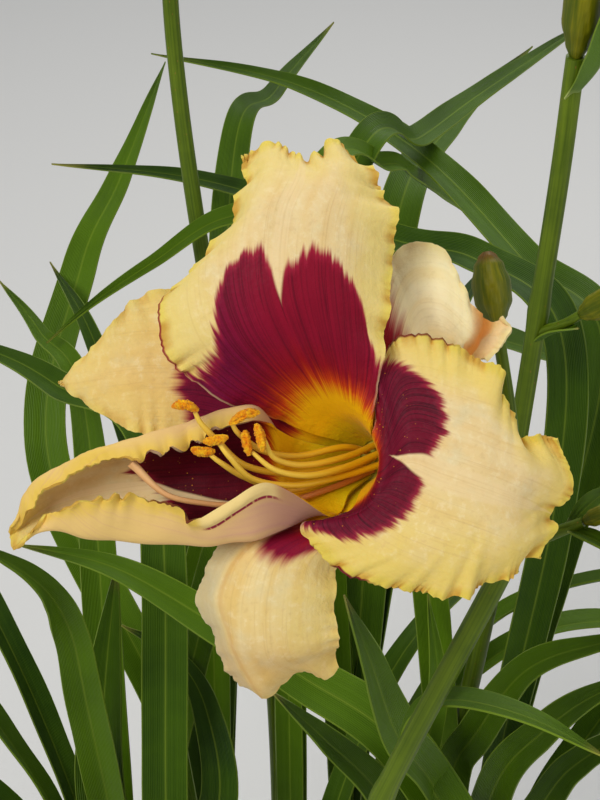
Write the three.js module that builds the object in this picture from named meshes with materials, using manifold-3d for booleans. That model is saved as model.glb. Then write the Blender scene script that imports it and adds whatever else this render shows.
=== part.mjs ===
// A daylily in a plain nursery pot: leaf fans, three scapes, buds and one open bloom.
// Millimetres, +Z up. The origin is the centre of the pot's flat underside, and the open
// bloom leans towards -Y.

import * as THREE from 'three';
import { mergeVertices } from 'three/addons/utils/BufferGeometryUtils.js';
import Module from 'manifold-3d';

const wasm = await Module();
wasm.setup();

// ---------------------------------------------------------------- driving dimensions

const GAP = 0.3;                 // clearance between pieces that rest on each other

const POT_HEIGHT = 220;
const POT_TOP_RADIUS = 130;      // outside of the rim
const POT_BASE_RADIUS = 98;
const POT_WALL = 3;
const POT_FLOOR = 4;
const RIM_HEIGHT = 16;
const RIM_STEP = 6;              // how far the rim stands out from the wall
const POT_SIDES = 32;
const DRAIN_HOLES = 6;
const DRAIN_RADIUS = 7;

const SOIL_TOP = 200;            // mean height of the soil's surface
const SOIL_RELIEF = 3.5;

const CROWN_DEPTH = 24;          // how deep a fan's base stands in the soil
const CROWN_HEIGHT = 70;         // and how far it rises above it
const CROWN_HALF_WIDTH = 15;     // across the fan
const CROWN_HALF_THICKNESS = 8;

const LEAF_THICKNESS = 0.8;
const LEAF_FOLD = 24;            // degrees that each half of a blade rises from its keel
const LEAF_BASE = 0.5;           // width of a blade where it leaves its crown, as a share of the widest
const FAN_SPREAD = 8;            // how far from a crown's middle its outermost blades stand

const SCAPE_DEPTH = 30;          // how deep a scape stands in the soil
const SCAPE_SIDES = 8;

const TEPAL_THICKNESS = 0.8;
const BLOOM_CENTRE = new THREE.Vector3(13, -132, 750);   // middle of the bloom's mouth
const BLOOM_PITCH = 52;          // degrees that the bloom's frame is tipped back from upright
const THROAT_YAW = 36;           // degrees that the tube turns left in the bloom's frame

const MATERIALS = {
  pot: { color: 0x17181a, roughness: 0.55, metalness: 0 },
  soil: { color: 0x2b1e15, roughness: 0.95, metalness: 0 },
  leaf: { color: 0x3f7a1e, roughness: 0.5, metalness: 0 },
  scape: { color: 0x5f8f33, roughness: 0.5, metalness: 0 },
  petal: { color: 0xf3dd9c, roughness: 0.55, metalness: 0 },
  sepal: { color: 0xf1d3a0, roughness: 0.55, metalness: 0 },
  stamen: { color: 0xe9b81f, roughness: 0.5, metalness: 0 },
  pistil: { color: 0xeeb98e, roughness: 0.5, metalness: 0 },
  bud: { color: 0x8f9a2a, roughness: 0.5, metalness: 0 },
};

const UP = new THREE.Vector3(0, 0, 1);
const radians = THREE.MathUtils.degToRad;

// ---------------------------------------------------------------- solids and booleans

/** A closed solid from a flat list of corners and one of triangles. */
function solidGeometry(corners, triangles) {
  const geometry = new THREE.BufferGeometry();
  geometry.setAttribute('position', new THREE.Float32BufferAttribute(corners, 3));
  geometry.setIndex(triangles);
  return geometry;
}

function toManifold(geometry) {
  const bare = geometry.clone();
  for (const name of Object.keys(bare.attributes)) {
    if (name !== 'position') bare.deleteAttribute(name);
  }
  const merged = mergeVertices(bare, 1e-4);
  return new wasm.Manifold(new wasm.Mesh({
    numProp: 3,
    vertProperties: new Float32Array(merged.attributes.position.array),
    triVerts: new Uint32Array(merged.index.array),
  }));
}

function fromManifold(manifold) {
  const mesh = manifold.getMesh();
  return solidGeometry(Array.from(mesh.vertProperties), Array.from(mesh.triVerts));
}

/** Keeps a solid's outer skin: sealed pockets are filled and loose scraps are dropped. */
function outerSkin(geometry) {
  const { position } = geometry.attributes;
  const index = geometry.index.array;
  const owner = Array.from({ length: position.count }, (_, i) => i);
  const find = (i) => {
    let root = i;
    while (owner[root] !== root) root = owner[root];
    owner[i] = root;
    return root;
  };
  const volumes = new Map();
  for (let k = 0; k < index.length; k += 3) {
    owner[find(index[k])] = find(index[k + 1]);
    owner[find(index[k + 1])] = find(index[k + 2]);
  }
  const corner = (i) => new THREE.Vector3().fromBufferAttribute(position, i);
  for (let k = 0; k < index.length; k += 3) {
    const share = corner(index[k]).dot(corner(index[k + 1]).cross(corner(index[k + 2]))) / 6;
    volumes.set(find(index[k]), (volumes.get(find(index[k])) ?? 0) + share);
  }
  const [body] = [...volumes].sort((a, b) => b[1] - a[1])[0];
  const kept = [];
  for (let k = 0; k < index.length; k += 3) {
    if (find(index[k]) === body) kept.push(index[k], index[k + 1], index[k + 2]);
  }
  return solidGeometry(Array.from(position.array), kept);
}

/** Joins solids that overlap into one. */
function fuse(geometries) {
  const [first, ...rest] = geometries.map(toManifold);
  return outerSkin(fromManifold(rest.reduce((whole, next) => whole.add(next), first)));
}

/** Cuts every tool out of a solid. */
function cut(geometry, tools) {
  const left = tools.map(toManifold).reduce((body, tool) => body.subtract(tool), toManifold(geometry));
  return fromManifold(left);
}

/**
 * Stacks closed rings of equal length into a tube and closes both ends. From its side `back` on, the tube
 * is split into triangles the other way, so that the two faces of a thin twisted blade are split alike.
 */
function loftRings(rings, back = rings[0].length) {
  const sides = rings[0].length;
  const corners = rings.flat().flatMap((p) => [p.x, p.y, p.z]);
  const triangles = [];
  for (let i = 0; i < rings.length - 1; i += 1) {
    for (let j = 0; j < sides; j += 1) {
      const a = i * sides + j;
      const b = i * sides + (j + 1) % sides;
      if (j < back) triangles.push(a, b, b + sides, a, b + sides, a + sides);
      else triangles.push(a, b, a + sides, b, b + sides, a + sides);
    }
  }
  const last = (rings.length - 1) * sides;
  for (let j = 1; j < sides - 1; j += 1) {
    triangles.push(0, j + 1, j, last, last + j, last + j + 1);
  }
  return solidGeometry(corners, triangles);
}

/** A round stem through the given points, with a radius at each of them. */
function stem(points, radii, sides = SCAPE_SIDES, steps = 3 * (points.length - 1)) {
  const path = new THREE.CatmullRomCurve3(points, false, 'catmullrom', 0.5);
  const rings = [];
  let across = null;
  for (let i = 0; i <= steps; i += 1) {
    const along = path.getTangent(i / steps);
    across = (across ?? perpendicular(along)).clone();
    across.addScaledVector(along, -across.dot(along)).normalize();
    const over = along.clone().cross(across);
    const centre = path.getPoint(i / steps);
    const radius = blend(radii, i / steps);
    rings.push(Array.from({ length: sides }, (_, j) => {
      const turn = (2 * Math.PI * j) / sides;
      return centre.clone()
        .addScaledVector(across, radius * Math.cos(turn))
        .addScaledVector(over, radius * Math.sin(turn));
    }));
  }
  return loftRings(rings);
}

function perpendicular(direction) {
  const helper = Math.abs(direction.x) < 0.9 ? new THREE.Vector3(1, 0, 0) : new THREE.Vector3(0, 1, 0);
  return helper.cross(direction).normalize();
}

/** Straight-line blend through evenly spaced values, t from 0 to 1. */
function blend(values, t) {
  const x = Math.min(Math.max(t, 0), 1) * (values.length - 1);
  const i = Math.min(Math.floor(x), values.length - 2);
  return values[i] + (values[i + 1] - values[i]) * (x - i);
}

const at = ([x, y, z]) => new THREE.Vector3(x, y, z);

/** A repeatable run of numbers from 0 to 1. */
function seededRandom(seed) {
  let state = seed;
  return () => {
    state = (state * 1664525 + 1013904223) % 4294967296;
    return state / 4294967296;
  };
}

// ---------------------------------------------------------------- pot

/** Inside radius of the pot at a height. */
function potInside(z) {
  const wallTop = POT_TOP_RADIUS - RIM_STEP;
  return POT_BASE_RADIUS + (wallTop - POT_BASE_RADIUS) * (z / POT_HEIGHT) - POT_WALL;
}

function potGeometry() {
  const outer = (z) => potInside(z) + POT_WALL;
  const rimBase = POT_HEIGHT - RIM_HEIGHT;
  const profile = [
    [0, 0],
    [POT_BASE_RADIUS, 0],
    [outer(rimBase), rimBase],
    [POT_TOP_RADIUS - 1, rimBase + 1],
    [POT_TOP_RADIUS, POT_HEIGHT - 2],
    [POT_TOP_RADIUS - 2, POT_HEIGHT],
    [potInside(POT_HEIGHT), POT_HEIGHT],
    [potInside(POT_FLOOR), POT_FLOOR],
    [0, POT_FLOOR],
  ].map(([r, z]) => new THREE.Vector2(r, z));
  const shell = new THREE.LatheGeometry(profile, POT_SIDES).rotateX(Math.PI / 2);
  const holes = Array.from({ length: DRAIN_HOLES }, (_, i) => {
    const hole = new THREE.CylinderGeometry(DRAIN_RADIUS, DRAIN_RADIUS, 30, 8).rotateZ(Math.PI / 2);
    hole.translate(POT_BASE_RADIUS, 0, POT_FLOOR + DRAIN_RADIUS + 4);
    return hole.rotateZ((2 * Math.PI * (i + 0.5)) / DRAIN_HOLES);
  });
  return cut(shell, holes);
}

// ---------------------------------------------------------------- soil

/** Height of the soil's crumbly surface. */
function soilHeight(x, y) {
  const lumps = Math.sin(x / 11 + 1.7 * Math.sin(y / 17)) * Math.cos(y / 9 + 1.3 * Math.sin(x / 23));
  return SOIL_TOP + SOIL_RELIEF * lumps;
}

function soilGeometry(standing) {
  const rings = [30, 66, 98];
  const sides = 22;
  const corners = [0, 0, soilHeight(0, 0)];
  const edge = [SOIL_TOP - 4, POT_FLOOR + GAP];
  const circle = (radius, height) => {
    for (let j = 0; j < sides; j += 1) {
      const turn = (2 * Math.PI * j) / sides;
      const x = radius * Math.cos(turn);
      const y = radius * Math.sin(turn);
      corners.push(x, y, height ?? soilHeight(x, y));
    }
  };
  const facetInset = Math.cos(Math.PI / POT_SIDES);     // the pot's flats lie inside its corner circle
  rings.forEach((radius) => circle(radius));
  edge.forEach((z) => circle(potInside(z) * facetInset - GAP, z));
  corners.push(0, 0, POT_FLOOR + GAP);
  const bottom = corners.length / 3 - 1;
  const triangles = [];
  for (let j = 0; j < sides; j += 1) {
    const next = (j + 1) % sides;
    triangles.push(0, 1 + j, 1 + next);
    for (let i = 0; i < rings.length + edge.length - 1; i += 1) {
      const a = 1 + i * sides + j;
      const b = 1 + i * sides + next;
      triangles.push(a, a + sides, b + sides, a, b + sides, b);
    }
    const last = 1 + (rings.length + edge.length - 1) * sides;
    triangles.push(bottom, last + next, last + j);
  }
  return cut(solidGeometry(corners, triangles), standing);
}

// ---------------------------------------------------------------- leaves

/** Width of a blade at a share of its length, as a share of the widest: narrow foot, long even tip. */
function bladeTaper(share) {
  const opening = THREE.MathUtils.smoothstep(share, 0, 0.4);
  const closing = THREE.MathUtils.clamp((share - 0.5) / 0.5, 0, 1) ** 2.2;
  return Math.max((LEAF_BASE + (1 - LEAF_BASE) * opening) * (1 - closing), 0.06);
}

/**
 * A keeled strap leaf along a curve. Its stations are the curve's points and, past the straight foot, the
 * places halfway between them. A blade with a face keeps its upper side turned that way. Any other starts
 * level and turns with its curve.
 */
function leafBlade({ points, width, face, twist = 0 }) {
  const path = new THREE.CatmullRomCurve3(points, false, 'catmullrom', 0.5);
  const rise = Math.tan(radians(LEAF_FOLD));
  const spans = points.length - 1;
  const stations = [0, ...Array.from({ length: 2 * spans - 1 }, (_, i) => (i + 2) / (2 * spans))];
  const centres = stations.map((station) => path.getPoint(station));
  const travelled = [0];
  for (let i = 1; i < centres.length; i += 1) {
    travelled.push(travelled[i - 1] + centres[i].distanceTo(centres[i - 1]));
  }
  const reach = points[spans].clone().sub(points[0]);
  const across = new THREE.Vector3(reach.y, -reach.x, 0).normalize();
  const rings = centres.map((centre, i) => {
    const share = travelled[i] / travelled[centres.length - 1];
    const along = path.getTangent(stations[i]);
    if (face) across.crossVectors(along, face);
    across.addScaledVector(along, -across.dot(along)).normalize();
    const side = across.clone().applyAxisAngle(along, radians(twist) * share);
    const top = side.clone().cross(along);
    const half = (width / 2) * bladeTaper(share);
    const corner = (sideways, upwards) => centre.clone()
      .addScaledVector(side, sideways)
      .addScaledVector(top, upwards);
    return [
      corner(-half, half * rise - LEAF_THICKNESS),
      corner(-half, half * rise),
      corner(0, 0),
      corner(half, half * rise),
      corner(half, half * rise - LEAF_THICKNESS),
      corner(0, -1.3 * LEAF_THICKNESS),
    ];
  });
  const underside = 4;           // the first of the section's sides that lies underneath
  return loftRings(rings, underside);
}

/** The fans: where each crown stands, the way its leaves spread, and the leaves that are placed by hand. */
const FANS = [
  {
    name: 'fan_front_left', x: -55, y: -38, plane: 215, grown: 4, vigour: 400,
    placed: [
      { width: 20, points: [[-55, 75, 575], [-100, 110, 590], [-130, 140, 585], [-165, 175, 570]] },
    ],
  },
  {
    name: 'fan_front_right', x: 52, y: -45, plane: -45, grown: 4, vigour: 400,
    placed: [],
  },
  {
    name: 'fan_right', x: 88, y: 28, plane: 5, grown: 1, vigour: 430,
    placed: [
      {
        width: 24,
        points: [
          [88, -17, 408], [51, -4, 482], [10, 12, 507], [-26, 20, 530], [-70, 35, 550], [-115, 55, 545],
        ],
      },
      { width: 16, points: [[63, 17, 424], [70, 34, 475], [67, 72, 498]] },
      {
        width: 18,
        points: [[140, 105, 605], [111, 170, 617], [66, 250, 629], [5, 317, 631], [-75, 375, 620]],
      },
      {
        width: 17,
        points: [
          [118, 62, 560], [115, 85, 640], [85, 135, 640], [50, 175, 625], [-40, 250, 612], [-125, 305, 590],
        ],
      },
      { width: 21, points: [[70, -3, 444], [47, -42, 531], [34, -66, 598], [23, -85, 652]] },
      { width: 18, points: [[43, -15, 462], [18, -39, 527], [-2, -59, 577]] },
      {
        width: 16,
        points: [
          [53, 124, 580], [15, 165, 640], [-27, 190, 627], [-62, 187, 604], [-91, 176, 588],
          [-114, 172, 568],
        ],
      },
      { width: 17, points: [[80, 39, 405], [89, 31, 450], [105, 17, 506], [128, -2, 542], [155, -25, 572]] },
      { width: 17, points: [[94, -3, 454], [108, -21, 511], [124, -41, 557], [143, -66, 594]] },
      { width: 16, points: [[121, 14, 424], [133, 6, 461], [152, -8, 497], [171, -22, 524]] },
    ],
  },
  {
    name: 'fan_middle', x: 5, y: 12, plane: 95, grown: 3, vigour: 400,
    placed: [],
  },
  {
    name: 'fan_left', x: -78, y: 32, plane: 165, grown: 3, vigour: 440,
    placed: [
      { width: 18, points: [[-95, 150, 543], [-120, 190, 562], [-145, 230, 565]] },
      { width: 24, points: [[-85, 30, 420], [-80, 38, 475], [-72, 55, 535]] },
      { width: 19, points: [[-30, 15, 415], [-35, 40, 455], [-50, 55, 475], [-75, 70, 480]] },
      {
        width: 17,
        points: [[-85, 15, 487], [-87, 10, 535], [-92, -3, 573], [-102, -28, 615], [-111, -48, 642]],
      },
      {
        width: 12,
        points: [
          [12, 155, 659], [48, 205, 647], [66, 230, 624], [120, 304, 541], [168, 371, 445], [214, 434, 360],
        ],
      },
      {
        width: 17,
        points: [
          [2, 98, 592], [76, 186, 571], [105, 215, 541], [152, 262, 491], [183, 293, 450], [257, 367, 348],
        ],
      },
      { width: 17, points: [[31, 194, 648], [67, 247, 638], [101, 298, 635], [180, 415, 625]] },
    ],
  },
  {
    name: 'fan_back_right', x: 28, y: 82, plane: 53, grown: 5, vigour: 450,
    placed: [
      { width: 24, points: [[56, 246, 581], [92, 345, 592], [145, 425, 600]] },
    ],
  },
  {
    name: 'fan_back_left', x: -32, y: 84, plane: 130, grown: 4, vigour: 450,
    placed: [
      { width: 20, points: [[-27, 290, 600], [-6, 352, 608], [28, 432, 612]] },
      { width: 22, points: [[-125, 200, 470], [-110, 275, 543], [-92, 327, 567], [-70, 405, 600]] },
    ],
  },
];

const LEAF_ROOT = SOIL_TOP + 22; // height at which a blade leaves its crown's middle
const PLACED_FACE = [0, -0.5, 0.86];   // the way the upper side of a placed blade is turned
const LEAF_SEED = 20;
const GROWN_WIDTH = 15;
const GROWN_SPREAD = 170;        // degrees over which a fan's grown blades lean, about the way it faces
const GROWN_TRIES = 40;
const KEEP_CLEAR = 3;            // least air between a grown blade and anything it passes

/** The flattened sheath that the blades of a fan stand in. */
function crownGeometry({ x, y, plane }) {
  const levels = [
    [SOIL_TOP - CROWN_DEPTH, 0.8],
    [SOIL_TOP, 1],
    [SOIL_TOP + 0.6 * CROWN_HEIGHT, 0.9],
    [SOIL_TOP + CROWN_HEIGHT, 0.6],
  ];
  const sides = 10;
  const rings = levels.map(([z, share]) => Array.from({ length: sides }, (_, j) => {
    const turn = (2 * Math.PI * j) / sides;
    const long = CROWN_HALF_WIDTH * share * Math.cos(turn);
    const short = CROWN_HALF_THICKNESS * share * Math.sin(turn);
    const corner = new THREE.Vector3(long, short, z).applyAxisAngle(UP, radians(plane));
    return corner.add(new THREE.Vector3(x, y, 0));
  }));
  return loftRings(rings);
}

/** The plain hole in the soil that a crown stands in, with straight sides above the crown's foot. */
function crownHole({ x, y, plane }) {
  const hole = new THREE.CylinderGeometry(1, 1, 2 * CROWN_DEPTH, 10).rotateX(Math.PI / 2);
  hole.scale(CROWN_HALF_WIDTH + 3 * GAP, CROWN_HALF_THICKNESS + 3 * GAP, 1);
  return hole.rotateZ(radians(plane)).translate(x, y, SOIL_TOP - GAP);
}

/** Where a blade that heads a given way stands in its crown. */
function bladeRoot(fan, heading) {
  const plane = new THREE.Vector3(Math.cos(radians(fan.plane)), Math.sin(radians(fan.plane)), 0);
  return new THREE.Vector3(fan.x, fan.y, LEAF_ROOT).addScaledVector(plane, FAN_SPREAD * plane.dot(heading));
}

/** The curve of a placed blade: it climbs steeply out of its crown and then follows its own points. */
function placedLeaf(fan, { width, points, face = PLACED_FACE }) {
  const first = at(points[0]);
  const root = bladeRoot(fan, new THREE.Vector3(first.x - fan.x, first.y - fan.y, 0).normalize());
  const away = first.clone().sub(root);
  const climb = root.clone().add(new THREE.Vector3(0.3 * away.x, 0.3 * away.y, 0.55 * away.z));
  return { points: [root, climb, ...points.map(at)], width, face: at(face) };
}

/** A blade grown by rule. Order 0 is the outermost, which arches down, and order 1 the most upright. */
function grownLeaf(fan, index, random) {
  const order = (index + 0.5) / fan.grown;
  const facing = radians(fan.plane + GROWN_SPREAD * (random() - 0.5));
  const heading = new THREE.Vector3(Math.cos(facing), Math.sin(facing), 0);
  const length = fan.vigour * (0.82 + 0.3 * random());
  const reach = length * (0.74 - 0.3 * order) * (0.9 + 0.2 * random());
  const outwards = [0, 0.1, 0.36, 0.7, 1];
  const arching = [0, 0.34, 0.55, 0.52, 0.3 + 0.1 * random()];
  const upright = [0, 0.34, 0.66, 0.8, 0.78 + 0.08 * random()];
  const root = bladeRoot(fan, heading);
  const points = outwards.map((share, i) => root.clone()
    .addScaledVector(heading, reach * share)
    .addScaledVector(UP, length * (arching[i] + (upright[i] - arching[i]) * order)));
  return { points, width: GROWN_WIDTH * (0.8 + 0.4 * random()), twist: 50 * (random() - 0.5) };
}

/** Points along a curve with the half width kept clear round them. */
function occupied(points, half, owner) {
  const path = new THREE.CatmullRomCurve3(points, false, 'catmullrom', 0.5);
  return { owner, half, samples: path.getPoints(48) };
}

function isClear(candidate, standing) {
  return standing.every((other) => other.owner === candidate.owner || candidate.samples.every((p) => (
    other.samples.every((q) => p.distanceTo(q) > candidate.half + other.half + KEEP_CLEAR)
  )));
}

/** All blades of each fan, the grown ones only where they pass clear of the rest of the plant. */
function leavesByFan(standing) {
  const random = seededRandom(LEAF_SEED);
  const leaves = new Map(FANS.map((fan) => [fan, fan.placed.map((leaf) => placedLeaf(fan, leaf))]));
  for (const [fan, blades] of leaves) {
    for (const { points, width } of blades) standing.push(occupied(points, width / 2, fan.name));
  }
  for (const fan of FANS) {
    for (let index = 0; index < fan.grown; index += 1) {
      for (let tries = 0; tries < GROWN_TRIES; tries += 1) {
        const leaf = grownLeaf(fan, index, random);
        const space = occupied(leaf.points, leaf.width / 2, fan.name);
        if (isClear(space, standing)) {
          standing.push(space);
          leaves.get(fan).push(leaf);
          break;
        }
      }
    }
  }
  return leaves;
}

// ---------------------------------------------------------------- the throat of the bloom

const THROAT_AXIS = new THREE.Vector3(-Math.sin(radians(THROAT_YAW)), 0, Math.cos(radians(THROAT_YAW)));
const THROAT_ACROSS = new THREE.Vector3(Math.cos(radians(THROAT_YAW)), 0, Math.sin(radians(THROAT_YAW)));
const BLOOM_UP = new THREE.Vector3(0, 1, 0);
const TUBE_TOP = -28.1;          // along the throat's axis from the middle of the mouth
const TUBE_FOOT = -58;

/** A point of the throat's funnel. */
function throatPoint(along, radius, azimuth) {
  return THROAT_AXIS.clone().multiplyScalar(along)
    .addScaledVector(THROAT_ACROSS, radius * Math.cos(radians(azimuth)))
    .addScaledVector(BLOOM_UP, radius * Math.sin(radians(azimuth)));
}

// ---------------------------------------------------------------- scapes, bracts and buds

const BLOOM_FRAME = new THREE.Matrix4().makeRotationX(radians(BLOOM_PITCH)).setPosition(BLOOM_CENTRE);

/** A point on the throat's axis, below the tube's foot, in the plant's frame. */
function belowTube(distance) {
  return throatPoint(TUBE_FOOT - distance, 0, 0).applyMatrix4(BLOOM_FRAME).toArray();
}

// A scape is a stem with side branches and bracts. A bud stands on the end of the stem or branch that
// has one.
const SCAPES = {
  scape_main: {
    stem: {
      points: [
        [0, -75, SOIL_TOP - SCAPE_DEPTH], [4, -86, 350], [18, -104, 490], [35.5, -112, 581], [70, -101, 676],
        [74, -99, 690],
      ],
      radii: [4.6, 4.4, 4.1, 3.8, 3.5, 3.4],
    },
    branches: [
      {
        points: [[73, -99.5, 687], [73, -88, 704], [63, -83, 714], belowTube(6), belowTube(GAP)],
        radii: [2.6, 2.4, 2.8],
      },
      {
        points: [[73, -99, 686], [74, -82, 712], [68.4, -60, 744]], radii: [2.2, 1.9, 1.9],
        bud: { name: 'bud_main', length: 22, radius: 6 },
      },
      {
        points: [[73, -99, 686], [84, -104, 697], [93, -105, 703]], radii: [2.4, 2, 1.6],
        bud: { name: 'bud_tip', length: 11, radius: 2.8 },
      },
    ],
    bracts: [
      {
        width: 9,
        points: [
          [36.5, -111, 584], [41, -106, 596], [47, -100, 612], [60, -104, 623], [82, -115, 627],
          [106, -127, 622],
        ],
      },
      { width: 7, points: [[74, -98, 684], [80, -96, 694], [84, -93, 706]] },
      { width: 6, points: [[89, -104.5, 700], [96, -112, 702], [104, -118, 701]] },
      { width: 6, points: [[89, -104.5, 700], [96, -98, 704], [104, -92, 706]] },
    ],
  },
  scape_right: {
    stem: {
      points: [
        [60, 60, SOIL_TOP - SCAPE_DEPTH], [82, 62, 380], [95, 63, 520], [104, 64, 700], [106, 64, 772],
      ],
      radii: [4.6, 4.4, 4.2, 3.8, 3.6],
      bud: { name: 'bud_right_top', length: 44, radius: 7 },
    },
    branches: [
      {
        points: [[101, 63.5, 652], [110, 57, 660], [117, 53, 668]], radii: [2.2, 1.9, 1.9],
        bud: { name: 'bud_right_side', length: 26, radius: 5.5 },
      },
    ],
    bracts: [
      { width: 13, points: [[106, 63, 756], [114, 56, 776], [116, 52, 806]] },
      { width: 8, points: [[101, 63.5, 646], [108, 58, 656], [116, 50, 664]] },
    ],
  },
  scape_left: {
    stem: {
      points: [
        [-2, 104, SOIL_TOP - SCAPE_DEPTH], [-8, 140, 400], [-38, 200, 590], [-50, 232, 690],
        [-51, 240, 765],
      ],
      radii: [4.6, 4.4, 4, 3.8, 3.6],
      bud: { name: 'bud_left_top', length: 40, radius: 7 },
    },
    branches: [
      {
        points: [[-51, 239, 756], [-58, 236, 770], [-64, 233, 782]], radii: [2.2, 1.9, 1.9],
        bud: { name: 'bud_left_side', length: 24, radius: 5 },
      },
    ],
    bracts: [
      { width: 13, points: [[-51, 240, 750], [-43, 231, 772], [-39, 227, 800]] },
      { width: 12, points: [[-51, 240, 754], [-62, 230, 764], [-72, 222, 776]] },
    ],
  },
};

/** A stem with its branches and bracts, grown as one. */
function scapeGeometry({ stem: main, branches, bracts }) {
  return fuse([
    stem(main.points.map(at), main.radii),
    ...branches.map(({ points, radii }) => stem(points.map(at), radii, 6, 2 * (points.length - 1))),
    ...bracts.map(({ width, points }) => leafBlade({ points: points.map(at), width })),
  ]);
}

/** A hole in the soil for a scape's foot. */
function scapeHole({ stem: { points, radii } }) {
  const foot = at(points[0]);
  const next = at(points[1]);
  const along = next.sub(foot).normalize();
  const end = foot.clone().addScaledVector(along, 2 * SCAPE_DEPTH);
  return stem([foot.clone().addScaledVector(along, -GAP), end], [radii[0] + 1, radii[0] + 1], SCAPE_SIDES, 1);
}

/** A closed bud with three low ribs, standing in line on the end of its stem. */
function budGeometry({ points, bud: { length, radius } }) {
  const [before, end] = points.slice(-2).map(at);
  const along = end.clone().sub(before).normalize();
  const base = end.addScaledVector(along, GAP);
  const across = perpendicular(along);
  const over = along.clone().cross(across);
  const sides = 9;
  const profile = [[0, 0.36], [0.08, 0.62], [0.3, 0.96], [0.55, 1], [0.8, 0.78], [0.94, 0.45], [1, 0.16]];
  const rings = profile.map(([share, swell]) => Array.from({ length: sides }, (_, j) => {
    const turn = (2 * Math.PI * j) / sides;
    const r = radius * swell * (1 + 0.06 * Math.cos(3 * turn));
    return base.clone()
      .addScaledVector(along, length * share)
      .addScaledVector(across, r * Math.cos(turn))
      .addScaledVector(over, r * Math.sin(turn));
  }));
  return loftRings(rings);
}

// ---------------------------------------------------------------- the open bloom, in its own frame
// x runs to the right across the bloom's face, y up it and z out of it.

// Rows of the throat's funnel: distance along its axis, radius, and half the angle a tepal covers.
const PETAL_THROAT = [[-27.6, 5.2, 48], [-17, 9.5, 52], [-8, 15.5, 54]];
const SEPAL_THROAT = [[-27.6, 7.2, 40], [-18.5, 11.8, 42], [-10.5, 18, 42]];

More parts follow.
